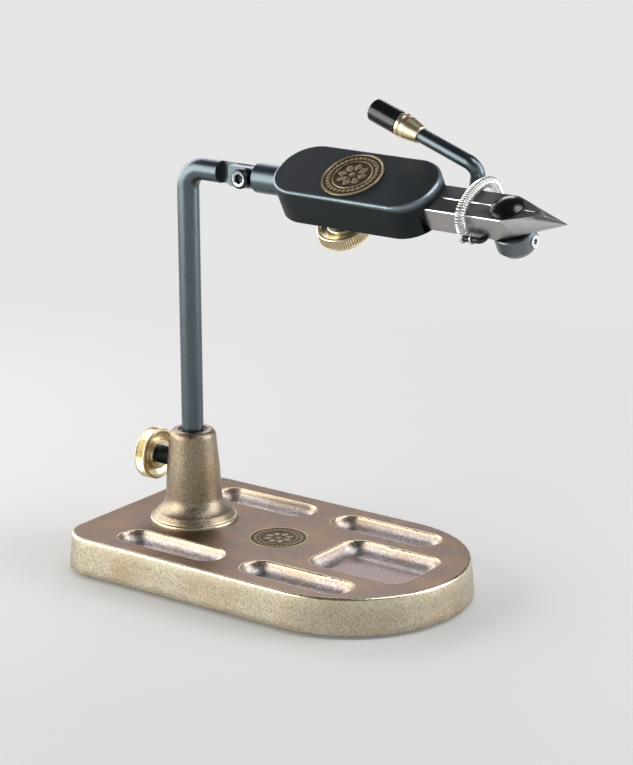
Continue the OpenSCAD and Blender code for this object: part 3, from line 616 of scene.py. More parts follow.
# The plaque's seat and the stem's bore: radius, depth or floor, and how wide their walls slope
MEDAL_X, SEAT_R, SEAT_DEPTH, SEAT_WALL = 46.5, 12.2, 1.3, 0.6
BORE_R, BORE_FLOOR, BORE_WALL = 7.0, 4.3, 0.5
POCKETS = (
    # middle x, middle y, ball radius, half length and half width at the rim
    (13.0, 34.0, 8.35, 26.5, None), (15.0, -34.0, 8.35, 27.0, None),
    (79.0, 34.0, 8.35, 27.0, None), (81.3, -34.0, 8.35, 27.0, None),
    (97.0, 0.0, 8.0, 24.0, 18.0),
)


def pocket(x, y, middle_x, middle_y, ball_r, half_len, half_w):
    """Height below the top, and how close a point is to the polished rim with its painted highlight,
    from 0 to 1.
    """
    rise = ball_r - POCKET_DEPTH
    rim = np.sqrt(ball_r ** 2 - rise ** 2)
    spine = half_len - rim, 0.0 if half_w is None else half_w - rim
    d = np.hypot(np.maximum(np.abs(x - middle_x) - spine[0], 0),
                 np.maximum(np.abs(y - middle_y) - spine[1], 0))
    d_rim = np.sqrt((ball_r + RIM_R) ** 2 - (rise + RIM_R) ** 2)
    d_touch = d_rim * ball_r / (ball_r + RIM_R)
    floor_z = rise - np.sqrt(np.maximum(ball_r ** 2 - d ** 2, 0))
    rim_z = -RIM_R + np.sqrt(np.clip(RIM_R ** 2 - (d_rim - d) ** 2, 0, None))
    height = np.where(d < d_touch, floor_z, np.where(d < d_rim, rim_z, 0.0))
    return height, np.clip(1 - np.abs(d - (d_touch + d_rim) / 2) / RIM_POLISH_AND_HIGHLIGHT, 0, 1)


def plate_height(x, y):
    """Height of the top over the casting's upper face, and the rims' polish and painted highlight."""
    height, edge = np.zeros_like(x), np.zeros_like(x)
    for row in POCKETS:
        z, rim = pocket(x, y, *row)
        height, edge = np.minimum(height, z), np.maximum(edge, rim)
    medal = np.hypot(x - MEDAL_X, y)
    seat = 1 - smooth_step((medal - SEAT_R) / SEAT_WALL)
    bore = 1 - smooth_step((np.hypot(x, y) - BORE_R) / BORE_WALL)
    height = np.minimum(height, -SEAT_DEPTH * seat)
    height = np.minimum(height, (BORE_FLOOR - BASE_TOP) * bore)
    return height, edge


print("floor of the first pocket in mm:", float(plate_height(*np.array(POCKETS[0][:2]))[0]))

# %% [markdown]
# Seen from above, the casting is straight at its sides, with quarter circles at the rear corners and
# half a circle for its nose. On a circle of radius r about x = c, the half width is
# sqrt(r^2 - (x - c)^2). Drawn in by an inset, the circles keep their middles, so one number gives
# every ring of the side. Points are spaced by angle on the circles, which keeps them round.

# %% Outline of the casting
BASE_REAR, HALF_W, CORNER_R, NOSE_X = 35.1, 50.8, 15.0, 84.8
CORNER_X = CORNER_R - BASE_REAR
CORNER_STEPS, SIDE_STEPS, NOSE_STEPS, ROWS = 34, 206, 96, 205


def outline_half(x, inset):
    """Half width of the casting's outline at x, drawn in by inset."""
    corner_r, nose_r = CORNER_R - inset, HALF_W - inset
    corner = HALF_W - CORNER_R + np.sqrt(np.clip(corner_r ** 2 - (CORNER_X - x) ** 2, 0, None))
    nose = np.sqrt(np.clip(nose_r ** 2 - (x - NOSE_X) ** 2, 0, None))
    return np.where(x < CORNER_X, corner, np.where(x > NOSE_X, nose, HALF_W - inset))


def outline_x(inset):
    """Places along x: by angle round the corners and the nose, and even between them."""
    corner_turn = np.linspace(0, np.pi / 2, CORNER_STEPS, endpoint=False)
    corner = CORNER_X - (CORNER_R - inset) * np.cos(corner_turn)
    straight = np.linspace(CORNER_X, NOSE_X, SIDE_STEPS, endpoint=False)
    nose = NOSE_X + (HALF_W - inset) * np.sin(np.linspace(0, np.pi / 2, NOSE_STEPS))
    return np.concatenate([corner, straight, nose])


def around(inset):
    """The outline drawn in by inset, once round: forwards on the right, back on the left, and
    across the rear. Its points match those of the top's edge."""
    x = outline_x(inset)
    half = outline_half(x, inset)
    rear = half[0] * np.linspace(1, -1, ROWS)[1:-1]
    return np.concatenate([np.stack([x, -half], -1), np.stack([x, half], -1)[-2::-1],
                           np.stack([np.full(len(rear), x[0]), rear], -1)])


print("points once round the casting:", len(around(0.0)))

# %% [markdown]
# The sides lean outwards to the foot by the draft, which lets a casting leave its mould, and a small
# turn joins them to the top. The rings of the side are the outline, drawn in by less and less on the
# way down. The last ring and a point in the middle close the underside, which the pad covers.
#
# Three attributes go with the points. edge is 1 on what is rubbed bright and painted with a
# highlight. flank is 1 on the ground sides, whose paler colour is partly painted light. bowl is 1
# in the pockets and 0.4 on their floors, where the colour is partly a painted reflection.

# %% Casting plate
DRAFT, EDGE_R, FOOT_R = 1.4, 1.2, 0.6
UNDERSIDE_X, UNDERSIDE_INSET = 48.0, 12.0
SLOPE = np.arctan(DRAFT / (BASE_TOP - PAD_T))
TOP_INSET = EDGE_R * (np.cos(SLOPE) - np.tan(SLOPE) * (1 - np.sin(SLOPE)))
x_line = outline_x(TOP_INSET)
x_grid = np.repeat(x_line[:, None], ROWS, 1)
y_grid = outline_half(x_line, TOP_INSET)[:, None] * np.linspace(-1, 1, ROWS)
z_grid, edge_grid = plate_height(x_grid, y_grid)
top_points = np.stack([x_grid, y_grid, BASE_TOP + z_grid], -1)
# bowl places the pockets' paler colour, which is partly a painted reflection.
bowl = smooth_step((-z_grid - 0.5) / 2.5) * (1 - 0.6 * smooth_step((-z_grid - 5.5) / 0.45))
turn = np.linspace(np.pi / 2, SLOPE, 9)
edge_rows = [(TOP_INSET - EDGE_R * np.cos(a), BASE_TOP - EDGE_R * (1 - np.sin(a))) for a in turn]
wall_rows = fine(np.array([edge_rows[-1], (-DRAFT + 0.05, PAD_T + FOOT_R)]), 2.4)[1:]
foot_rows = [(-DRAFT + 0.15, PAD_T + 0.2), (-DRAFT + 0.55, PAD_T), (UNDERSIDE_INSET, PAD_T)]
rows = [*edge_rows, *map(tuple, wall_rows), *foot_rows]
rim_points = np.stack([np.c_[around(inset), np.full(len(around(inset)), z)] for inset, z in rows])
middle = np.broadcast_to(np.array([UNDERSIDE_X, 0.0, PAD_T]), (1, *rim_points.shape[1:]))
rim_points = np.concatenate([rim_points, middle])
# By row from the top's edge down: the turn is rubbed bright and painted with a highlight, and
# what is below it is ground, with a paler colour that is partly painted light.
share = np.r_[np.clip(1 - np.abs(np.arange(len(rows)) - 4.5) / 5.5, 0, 1), 0]
flank = np.r_[np.clip((np.arange(len(rows)) - 3) / 4, 0, 1), 1]
plate = make_piece("cast_plate", "base", materials["cast_bronze"], [
    (top_points, False, {"edge": edge_grid, "bowl": bowl}),
    (rim_points, True, {"edge": share[:, None], "flank": flank[:, None]}),
], ["base_casting"], sharp=60)

# %% [markdown]
# A rim is hardly wider than one cell of the grid. So the top's normals don't come from its faces,
# but from the slope of the height field: the normal is (-dz/dx, -dz/dy, 1) made one long, with the
# slopes taken over SLOPE_STEP either way. Every rim then shades as one even line. A finer grid would
# do it too, with many times the points.

# %% Normals of the top
def read_points(mesh):
    """All points of a mesh in mm."""
    flat = np.empty(len(mesh.vertices) * 3, np.float32)
    mesh.vertices.foreach_get("co", flat)
    return flat.reshape(-1, 3) / MM


SLOPE_STEP = 0.3
place = read_points(plate.data)
x, y, z = place.T
on_top = (np.abs(y) < outline_half(x, TOP_INSET + 0.1)) & (x > x_line[0] + 0.1) & (z > PAD_T + 1)
fall_x = plate_height(x - SLOPE_STEP, y)[0] - plate_height(x + SLOPE_STEP, y)[0]
fall_y = plate_height(x, y - SLOPE_STEP)[0] - plate_height(x, y + SLOPE_STEP)[0]
sloped = unit(np.stack([fall_x, fall_y, np.full_like(x, 2 * SLOPE_STEP)], -1))
normals = np.empty(place.size, np.float32)
plate.data.vertex_normals.foreach_get("vector", normals)
normals = np.where(on_top[:, None], sloped, normals.reshape(-1, 3))
plate.data.normals_split_custom_set_from_vertices(normals.tolist())
print("points that shade by the slope:", int(on_top.sum()))

# %% [markdown]
# The boss is the bell-shaped part of the casting that holds the stem: a bead at its foot, a hollow
# flare, a slight taper and a rounded mouth. It is round, so it is a profile turned about the stem,
# of straight lines and arcs. A curve with a Screw modifier would give the same form, but the grid
# also carries how rubbed each row is.

# %% Boss
BOSS_BORE, BOSS_COLUMNS = 6.4, 128
BEAD_X, BEAD_Z, BEAD_R = 18.3, 0.5, 1.0
FLARE_X, FLARE_Z, FLARE_R = 21.22, 11.6, 9.0
MOUTH_X, MOUTH_R = 7.2, 3.0


def arc(x, y, radius, start, end, steps):
    """Points on a circle between two angles in degrees."""
    a = np.radians(np.linspace(start, end, steps))
    return np.c_[x + radius * np.cos(a), y + radius * np.sin(a)]


boss_profile = np.concatenate([
    [[BOSS_BORE, BASE_TOP - 1], [BEAD_X + BEAD_R, BASE_TOP - 1]],
    arc(BEAD_X, BASE_TOP + BEAD_Z, BEAD_R, 0, 100, 10),
    arc(FLARE_X, BASE_TOP + FLARE_Z, FLARE_R, 237, 188, 24),
    [[11.6, CLAMP_Z - 2], [10.4, BOSS_TOP - 5]],
    arc(MOUTH_X, BOSS_TOP - MOUTH_R, MOUTH_R, 0, 105, 12),
    [[BOSS_BORE, BOSS_TOP - 0.7], [BOSS_BORE, BASE_TOP - 1]]])
boss_profile = fine(boss_profile, 0.9)
# The bead is rubbed and painted with a highlight, most 0.9 mm above the plate, and less up to
# 1.2 mm from there.
bead = np.clip(1 - np.abs(boss_profile[:, 1] - BASE_TOP - 0.9) / 1.2, 0, 1) * (boss_profile[:, 0] > 16)
# The boss takes part of the flanks' paler colour, which partly paints the light on its flare.
boss = make_piece("cast_boss", "base", materials["cast_bronze"], [
    (revolve(boss_profile, BOSS_COLUMNS), True, {"edge": 0.6 * bead[:, None], "flank": 0.35})],
    ["base_casting"], sharp=50)

# %% [markdown]
# The clamp screw goes through the boss's wall. A round hole in a cone fits no grid, so a cylinder is
# cut out of the finished mesh with a Boolean modifier. The result is put in place of the mesh, and
# the cylinder is removed.

# %% Clamp hole
BUSH_R, STUD_R, HOLE_GAP, HOLE_LEN = 6.35, 4.0, 0.05, 21.3
hole = bmesh.new()
bmesh.ops.create_cone(hole, cap_ends=True, segments=64, radius1=(STUD_R + HOLE_GAP) * MM,
                      radius2=(STUD_R + HOLE_GAP) * MM, depth=HOLE_LEN * MM)
hole.transform(Matrix.Translation((-HOLE_LEN / 2 * MM, 0, CLAMP_Z * MM))
               @ Matrix.Rotation(np.pi / 2, 4, "Y"))
hole_mesh = bpy.data.meshes.new("clamp_hole")
hole.to_mesh(hole_mesh)
hole.free()
cutter = bpy.data.objects.new("clamp_hole", hole_mesh)
scene.collection.objects.link(cutter)
cut = boss.modifiers.new("clamp_hole", "BOOLEAN")
cut.object, cut.operation, cut.solver = cutter, "DIFFERENCE", "EXACT"
bpy.context.view_layer.update()
bored = bpy.data.meshes.new_from_object(boss.evaluated_get(bpy.context.evaluated_depsgraph_get()))
boss.modifiers.clear()
boss.data = bored
bpy.data.objects.remove(cutter)
print("boss faces with its hole:", len(bored.polygons))

# %% [markdown]
# ## Plaques
#
# Two round bronze plaques are let into the base and the head. Both carry the same plain ornament: a
# raised rim, a ring of beads, a thin ring, and a rosette of eight petals. Such a relief could be
# sculpted, or painted as a picture that displaces a disc. Here it is a formula in polar coordinates,
# which stays sharp at any size: each form is a smooth step of the distance or the angle, or a ball's
# height, and the relief is the highest of them.

# %% Ornament
RIM_END, BEADS, BEAD_AT, BEAD_SIZE, PETALS, PETAL_AT = 0.985, 32, 0.775, 0.075, 8, 0.34


def plaque_height(r, angle, radius):
    """Relief from 0 to 1 at a distance r from the middle. All places and widths are shares of the
    radius, as s is."""
    s = r / radius
    rim = smooth_step((s - 0.91) / 0.025) * (1 - smooth_step((s - RIM_END) / 0.015))
    ring = smooth_step((s - 0.60) / 0.02) * (1 - smooth_step((s - 0.64) / 0.02))
    pitch = 2 * np.pi / BEADS
    from_bead = (angle + pitch / 2) % pitch - pitch / 2
    bead_d = np.hypot((s - BEAD_AT) * radius, from_bead * BEAD_AT * radius)
    beads = np.sqrt(np.clip(1 - (bead_d / (BEAD_SIZE * radius)) ** 2, 0, 1))
    from_petal = np.abs((angle / (2 * np.pi / PETALS) + 0.5) % 1 - 0.5) * 2
    petals = smooth_step((1 - from_petal ** 1.5 - np.abs(s - PETAL_AT) / 0.2) / 0.35)
    hub = np.sqrt(np.clip(1 - (s / 0.11) ** 2, 0, 1))
    height = np.zeros(np.broadcast_shapes(r.shape, angle.shape))
    for part in (rim, 0.8 * ring, 0.85 * beads, 0.75 * petals, 0.9 * hub):
        height = np.maximum(height, part)
    return height


print("height in the ornament's middle:", float(plaque_height(np.zeros(1), np.zeros(1), 1.0)[0]))

# %% [markdown]
# A plaque is a disc. Its face is a round grid whose heights follow the ornament, and a turned profile
# closes its side and its back.

# %% Plaques
RELIEF, EDGE_BREAK, RING_COUNT, COLUMNS = 0.35, 0.06, 84, 384


def make_plaque(name, body, node, radius, foot, top, rubbed, to_world):
    """A plaque whose relief rises by RELIEF from its field to top. The brightness of its relief, from
    0 to 1, is how far it has been worn, and is lower on the base plaque as painted shade."""
    r = np.r_[np.linspace(0, radius * RIM_END, RING_COUNT), radius - EDGE_BREAK]
    angle = np.linspace(0, 2 * np.pi, COLUMNS, endpoint=False)
    height = plaque_height(r[:, None], angle[None], radius)
    flat = revolve(np.c_[r, np.zeros_like(r)], COLUMNS)
    flat[..., 2] = top - RELIEF + RELIEF * height
    side = revolve(np.array([[radius - EDGE_BREAK, top - RELIEF], [radius, top - 0.5],
                             [radius, foot], [0, foot]]), COLUMNS)
    return make_piece(name, body, materials["aged_bronze"], [
        (to_world(flat), True, {"raised": height * rubbed}),
        (to_world(side), True, {"raised": 0.3})],
        [node], sharp=50)


HEAD_TOP, HEAD_MEDAL_X, HEAD_MEDAL_R = 9.0, 89.0, 13.4
# The base plaque's relief is given less brightness than the head's, as painted shade.
make_plaque("base_plaque", "base", "base_medallion", radius=13.0, foot=BASE_TOP - 1.2,
            top=BASE_TOP + 0.12, rubbed=0.55, to_world=lambda p: p + np.array([MEDAL_X, 0, 0]))
make_plaque("head_plaque", "head", "head_medallion", radius=HEAD_MEDAL_R, foot=HEAD_TOP - 0.68,
            top=HEAD_TOP + 0.52, rubbed=0.9, to_world=lambda p: in_head(p, HEAD_MEDAL_X))

# %% [markdown]
# ## Clamp screws
#
# Two brass knobs on black studs hold the stem in the boss and the shank in the head. A knob is lathe
# work, so it is a profile turned about its axis. Its straight knurl is a row of teeth pressed into
# the rim: the radius dips between them in a triangle wave. Teeth could be cut by an array of
# Booleans, but a wave in the radius keeps one closed surface, and the same wave says where dirt
# stays.

# %% Knob
# Gap in mm between pieces that touch on the real one
FIT = 0.02
KNOB_R = (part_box("clamp_knob")[1].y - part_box("clamp_knob")[0].y) / MM / 2
KNOB_T, HUB_PROUD, STUD_INSET = 6.0, 0.6, 1.5
TEETH, POINTS_A_TOOTH, KNURL_DEPTH = 72, 6, 0.4


def triangle(x):
    """A wave from 0 to 1 and back over each whole step of x."""
    return 1 - np.abs((x % 1) * 2 - 1)


def knob_grid(radius):
    """A knob about Z with a dished inner face and its inner rim at z = 0. turned is the distance
    along its profile, and groove is 1 between two teeth."""
    t = KNOB_T
    line = rounded([[STUD_R + FIT, -HUB_PROUD], [6.2, -HUB_PROUD], [6.6, -0.2], [7, 1.8],
                    [radius - 1.7, 0.6], [radius - 1.3, 0], [radius - 0.4, 0], [radius, 0.4],
                    [radius, t - 0.7], [radius - 0.7, t], [radius - 3, t], [radius - 3.4, t - 0.3],
                    [0, t - 0.3]], 0.3)
    line = fine(line, 0.4)
    stud_end = t - STUD_INSET + FIT
    closing = np.array([[0, stud_end], [STUD_R + FIT, stud_end], [STUD_R + FIT, -HUB_PROUD]])
    line = np.concatenate([closing, line])
    columns = TEETH * POINTS_A_TOOTH
    angle = np.linspace(0, 1, columns, endpoint=False)
    # The knurl is on the rim alone and stops short of its chamfers.
    on_rim = smooth_step((line[:, 1] - 0.6) / 0.3) * smooth_step((t - 0.9 - line[:, 1]) / 0.3)
    on_rim = on_rim * (line[:, 0] > radius - 0.05)
    groove = (1 - triangle(angle * TEETH))[None] * on_rim[:, None]
    length = np.r_[0, np.cumsum(np.linalg.norm(np.diff(line, axis=0), axis=1))]
    return (revolve(line, columns, -KNURL_DEPTH * groove), True,
            {"turned": length[:, None], "groove": groove})


print("pitch of the knurl in mm:", round(2 * np.pi * KNOB_R / TEETH, 2))

# %% [markdown]
# A thread is the same wave wound into a helix: the radius follows the height divided by the pitch,
# less the angle as a share of a turn. A Screw modifier makes a thread too, but leaves its ends open.
# Here the wave fades out at both ends of the stud, as a cut thread does.

# %% Stud
THREAD_PITCH, THREAD_DEPTH, STUD_COLUMNS = 1.25, 0.62, 60
NOSE_R, NOSE_LEN, NOSE_BREAK = 2.0, 1.18, 0.2


def stud_grid(back, end):
    """A threaded stud about Z with the small nose that turns in its pad. The thread fades out from
    0.6 to 0.1 mm before both ends."""
    line = fine(np.array([[STUD_R, back + FIT], [STUD_R, end]]), THREAD_PITCH / 10)
    angle = np.linspace(0, 1, STUD_COLUMNS, endpoint=False)
    ends = smooth_step((line[:, 1] - back - 0.1) / 0.5) * smooth_step((end - line[:, 1] - 0.1) / 0.5)
    wave = triangle(line[:, 1:] / THREAD_PITCH - angle[None])
    wobble = -THREAD_DEPTH * smooth_step(wave * 1.3 - 0.15) * ends[:, None]
    tip = back - NOSE_LEN
    nose = revolve(np.array([[0, tip], [NOSE_R - NOSE_BREAK, tip], [NOSE_R, tip + NOSE_BREAK],
                             [NOSE_R, back + FIT]]), STUD_COLUMNS)
    cap = revolve(np.array([[0, end]]), STUD_COLUMNS)
    return np.concatenate([nose, revolve(line, STUD_COLUMNS, wobble), cap]), True, {}


print("points once round a stud:", STUD_COLUMNS)

# %% [markdown]
# Both screws are made about Z and then moved to their own axes. The clamp screw's Z leaves the stem
# at its rear, and the lock screw's Z leaves the shank downwards in the head's frame. A stud starts
# at the back of the pad that it presses on.

# %% Clamp screws
SHANK_R, PAD_GAP, PAD_LEN = 6.35, 0.05, 2.4
PAD_BACK = {"clamp": BUSH_R + PAD_GAP + PAD_LEN, "lock": SHANK_R + PAD_GAP + PAD_LEN}


def moved(grid, to_world):
    """The same grid with its points taken to the solids' frame."""
    return to_world(grid[0]), grid[1], grid[2]


def clamp_axis(points, z=0.0):
    """From a frame whose Z leaves the stem's axis along the clamp screw, moved out by z."""
    return on_axes(points, (-z, 0, CLAMP_Z), (0, 0, 1), (0, 1, 0), (-1, 0, 0))


def lock_axis(points, z=0.0):
    """From a frame whose Z leaves the shank's axis along the lock screw, moved out by z."""
    origin = np.array([LOCK_X, 0, ARM_Z]) - HEAD_UP * z
    return on_axes(points, origin, (1, 0, 0), -HEAD_SIDE, -HEAD_UP)


# Distance of each knob's inner rim from the axis of the bar that its screw holds
CLAMP_RIM = -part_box("clamp_knob")[1].x / MM + HUB_PROUD
LOCK_RIM = 18.6
SCREWS = (("clamp", clamp_axis, CLAMP_RIM), ("lock", lock_axis, LOCK_RIM))
for use, on_axis, rim_z in SCREWS:
    make_piece(use + "_knob_knurled", use + "_screw", materials["turned_brass"],
               [moved(knob_grid(KNOB_R), lambda p: on_axis(p, rim_z))], [use + "_knob"], sharp=35)
for use, on_axis, rim_z in SCREWS:
    make_piece(use + "_stud_threaded", use + "_screw", materials["black_screw"],
               [moved(stud_grid(PAD_BACK[use], rim_z + KNOB_T - STUD_INSET), on_axis)],
               [use + "_stud"], sharp=45)

# %% [markdown]
# ## Knuckle
#
# Two flats are held together by one socket-head screw at the knuckle, about which the head tilts.
# The screw's head is rounded. A chamfer leads into its socket, and the key has rubbed it bright;
# its pale ring is also a painted highlight. The socket could be cut with a six-sided prism and a
# Boolean, but then its mouth would have no chamfer.
# So the grid's rows follow a hexagon there instead of a circle: a hexagon's radius at an angle is
# its inner radius over the cosine of the angle from the middle of the nearest side.

# %% Knuckle screw
KNUCKLE_X = joints["head_tilt"]["pos_m"][0] / MM
HEAD_FACE, SCREW_HEAD_R, SCREW_HEAD_T, HEAD_ROUND = 4.2, 4.3, 4.0, 1.1
SCREW_R, SCREW_FOOT = 2.5, -4.4
SOCKET_R, SOCKET_DEPTH, SOCKET_POINT = 2.3, 2.4, 0.6
screw_top = HEAD_FACE + SCREW_HEAD_T
screw_line = np.concatenate([
    [[0, SCREW_FOOT], [SCREW_R, SCREW_FOOT], [SCREW_R, HEAD_FACE], [SCREW_HEAD_R, HEAD_FACE]],
    arc(SCREW_HEAD_R - HEAD_ROUND, screw_top - HEAD_ROUND, HEAD_ROUND, 0, 90, 8),
    [[SOCKET_R + 0.55, screw_top], [SOCKET_R, screw_top - 0.4],
     [SOCKET_R, screw_top - SOCKET_DEPTH], [0, screw_top - SOCKET_DEPTH - SOCKET_POINT]]])
SOCKET_ROWS = [len(screw_line) - 3, len(screw_line) - 2]
angle = np.linspace(0, 2 * np.pi, 96, endpoint=False)
from_side = (angle + np.pi / 6) % (np.pi / 3) - np.pi / 6
hexagon = np.zeros((len(screw_line), len(angle)))
hexagon[SOCKET_ROWS] = SOCKET_R * np.cos(np.pi / 6) / np.cos(from_side) - SOCKET_R
# The pale ring round the socket is partly wear and partly a painted highlight.
rubbed = np.zeros((len(screw_line), 1))
rubbed[[SOCKET_ROWS[0] - 1, SOCKET_ROWS[0]]] = 0.6
screw_points = on_axes(revolve(screw_line, len(angle), hexagon), (KNUCKLE_X, 0, ARM_Z),
                       (1, 0, 0), (0, 0, 1), (0, -1, 0))
make_piece("knuckle_screw_socketed", "stem", materials["black_screw"], [
    (screw_points, True, {"rubbed": rubbed})], ["knuckle_screw"], sharp=30)

# %% [markdown]
# ## The head's machined parts
#
# The jaws are two milled bars that end in one split cone, which grips the hook. A machined part has
# small broken edges, and they are what draws the bright lines round it. A Bevel modifier would cut
# the edges of every hole as well, so the edges are picked here.
#
# A copy of each jaw's own surface is made: its double points are merged and its flat areas are joined.
# Then the edges along its top are cut at 45 degrees: the outer one, and those where the jaws part.
# The cam's slot keeps its sharp edges. The tops were left matt by blasting and are darker as
# painted shade, and the sides are ground. The cut edges are paler as a painted highlight.

# %% Jaws
LONG_EDGE, SLOT_HALF, EDGE_CUT = 6, 2, 0.3
GROUND, CUT, BLASTED_PAINTED_SHADE = 0, 1, 2


def above_shank(points):
    """Height in the head's frame."""
    return (points - [0, 0, ARM_Z]) @ HEAD_UP


def merged_copy(node, mesh):
    """A solid's surface with its points merged and its flat areas joined, also put into mesh."""
    edit = bmesh.new()
    edit.from_mesh(frame["nodes"][node].data)
    bmesh.ops.remove_doubles(edit, verts=edit.verts, dist=2e-6)
    bmesh.ops.dissolve_limit(edit, angle_limit=np.radians(0.6), verts=edit.verts, edges=edit.edges)
    edit.to_mesh(mesh)
    return edit


def ground_jaw(jaw):
    """A copy of one jaw. On its top, the edges are cut that run straight along the head for more
    than LONG_EDGE, apart from the slot's two sides, SLOT_HALF from the middle."""
    mesh = bpy.data.meshes.new(jaw + "_ground")
    edit = merged_copy(jaw, mesh)
    points = read_points(mesh)
    ends = np.empty(len(mesh.edges) * 2, np.int32)
    mesh.edges.foreach_get("vertices", ends)
    a, b = points[ends.reshape(-1, 2)].transpose(1, 0, 2)
    length = np.linalg.norm(b - a, axis=1)
    top = above_shank(points).max() - 0.05
    off_middle = np.abs((a - [0, 0, ARM_Z]) @ HEAD_SIDE)
    straight = (length > LONG_EDGE) & (np.abs(b - a)[:, 0] > 0.999 * length)
    along_top = (straight & (above_shank(a) > top) & (above_shank(b) > top)
                 & (np.abs(off_middle - SLOT_HALF) > 1))
    edit.edges.ensure_lookup_table()
    bmesh.ops.bevel(edit, geom=[edit.edges[i] for i in np.flatnonzero(along_top)],
                    offset=EDGE_CUT * MM, offset_type="OFFSET", segments=1, profile=0.5,
                    affect="EDGES", clamp_overlap=False, material=CUT)
    finish_piece(edit, jaw + "_ground", jaw, materials["jaw_steel"], [jaw], 20, mesh)
    mesh.materials.append(jaw_edge)
    mesh.materials.append(jaw_top)
    normals = np.empty(len(mesh.polygons) * 3, np.float32)
    mesh.polygons.foreach_get("normal", normals)
    kinds = np.empty(len(mesh.polygons), np.int32)
    mesh.polygons.foreach_get("material_index", kinds)
    # Faces that look up take the darker top finish, which is partly painted shade.
    kinds = np.where(normals.reshape(-1, 3) @ HEAD_UP > 0.95, BLASTED_PAINTED_SHADE, kinds).astype(np.int32)
    mesh.polygons.foreach_set("material_index", kinds)
    for kind, finish in ((GROUND, "ground"), (CUT, "cut"), (BLASTED_PAINTED_SHADE, "blasted_painted_shade")):
        print(jaw, finish, "faces:", int((kinds == kind).sum()))


ground_jaw("jaw_left")
ground_jaw("jaw_right")

# %% [markdown]
# The housing holds the jaws and turns on the shank. It is copied in the same way, because its own
# form is already right. It was tumbled and then anodised, so the skin is thinnest on its rounded
# upper edge. The pale band there is partly that wear and partly a painted highlight, which widens
# towards the front. The wear could be painted by hand or found from the edges with a Bevel node.
# An attribute was chosen: two cuts below the top give the mesh rows of points there, and edge says
# how pale the band is at each.

# %% Housing
BAND_CUTS = (2.2, 3.6)
BAND, BAND_WIDENS, WIDENS_FROM, WIDENS_OVER = 1.25, 2.2, 108, 16


def housing_copy():
    """The housing's surface. edge rises from 0 below a band to 1 at its top, and is 0 again on the
    flat top. The band is wider towards the front, where it paints a broader highlight."""
    mesh = bpy.data.meshes.new("housing")
    edit = merged_copy("head_housing", mesh)
    for drop in BAND_CUTS:
        bmesh.ops.bisect_plane(edit, geom=[*edit.verts, *edit.edges, *edit.faces], plane_no=HEAD_UP,
                               plane_co=(HEAD_UP * (HEAD_TOP - drop) + [0, 0, ARM_Z]) * MM)
    piece = finish_piece(edit, "housing_anodised", "head", materials["black_anodised"],
                         ["head_housing"], 30, mesh)
    points = read_points(mesh)
    height = above_shank(points)
    # Widening the band towards the front paints a highlight.
    band = BAND + BAND_WIDENS * smooth_step((points[:, 0] - WIDENS_FROM) / WIDENS_OVER)
    edge = smooth_step((height - HEAD_TOP + band) / band) * (height < HEAD_TOP - 0.01)
    mesh.attributes.new("edge", "FLOAT", "POINT").data.foreach_set("value", edge.astype(np.float32))
    weighted = piece.modifiers.new("flat_faces", "WEIGHTED_NORMAL")
    weighted.keep_sharp = True


housing_copy()

# %% [markdown]
# ## The material spring
#
# A close coil arches over the jaws and holds the ends of thread and feathers between its turns. Its
# middle line goes up beside the near jaw, over both jaws in three arcs and down beside the far jaw.
# The line could be a Bezier curve drawn by hand. Arcs that touch were chosen, because each distance
# along them then has an exact place, which the winding needs.

# %% Middle line of the spring
SPRING_X, SPRING_Y = (144.8, 148.3), (-10.9, 13.6)
SPRING_LOW, NEAR_TOP = (-1.3, -5.0), 2.2
NEAR_R, FAR_R, SIDE_TURN = 6.0, 8.0, np.radians(65)
crown_r = ((SPRING_Y[1] - SPRING_Y[0] - (NEAR_R + FAR_R) * (1 - np.cos(SIDE_TURN)))
           / (2 * np.cos(SIDE_TURN)))
near_middle = np.array([SPRING_Y[0] + NEAR_R, NEAR_TOP])
crown_middle = near_middle + (crown_r - NEAR_R) * np.array([np.cos(SIDE_TURN), -np.sin(SIDE_TURN)])
far_top = NEAR_TOP + (NEAR_R - FAR_R) * np.sin(SIDE_TURN)
far_middle = np.array([SPRING_Y[1] - FAR_R, far_top])
STRETCHES = (
    # length, bend radius or none
    (NEAR_TOP - SPRING_LOW[0], None), (NEAR_R * SIDE_TURN, NEAR_R),
    (crown_r * (np.pi - 2 * SIDE_TURN), crown_r), (FAR_R * SIDE_TURN, FAR_R),
    (far_top - SPRING_LOW[1], None),
)
path_len = sum(length for length, _ in STRETCHES)
marks = np.cumsum([0] + [length for length, _ in STRETCHES])


def section(s):
    """Place in the head's frame at each distance s along the middle line. On an arc the angle falls
    by the distance over the radius, and x goes evenly from the near end's to the far end's."""
    a1 = np.pi - (s - marks[1]) / NEAR_R
    a2 = np.pi - SIDE_TURN - (s - marks[2]) / crown_r
    a3 = SIDE_TURN - (s - marks[3]) / FAR_R
    conditions = [s < marks[1], s < marks[2], s < marks[3], s < marks[4]]
    y = np.select(conditions, [SPRING_Y[0] + 0 * s, near_middle[0] + NEAR_R * np.cos(a1),
                               crown_middle[0] + crown_r * np.cos(a2),
                               far_middle[0] + FAR_R * np.cos(a3)], SPRING_Y[1])
    z = np.select(conditions, [SPRING_LOW[0] + s, near_middle[1] + NEAR_R * np.sin(a1),
                               crown_middle[1] + crown_r * np.sin(a2),
                               far_middle[1] + FAR_R * np.sin(a3)], far_top - (s - marks[4]))
    return np.stack([SPRING_X[0] + (SPRING_X[1] - SPRING_X[0]) * s / path_len, y, z], -1)


print("length of the middle line in mm:", round(float(path_len), 1))

# %% [markdown]
# The wire is wound about that line. The inside of a bend has less room for it, so on an arc of
# radius R the turns per mm fall from 1 / pitch to (1 - r / (2 R)) / pitch, where r is the radius of
# the winding. The turns up to a distance are the sum of that rate, and the sum is read backwards to
# place the points evenly by turn. Real wire is finer and its turns touch. Here the wire is coarser
# and the pitch wider, so that the turns show.
#
# A torus repeated by an Array and bent by a Curve modifier would be quicker to set up, but it gives
# closed rings, and not one wire that goes on from turn to turn.

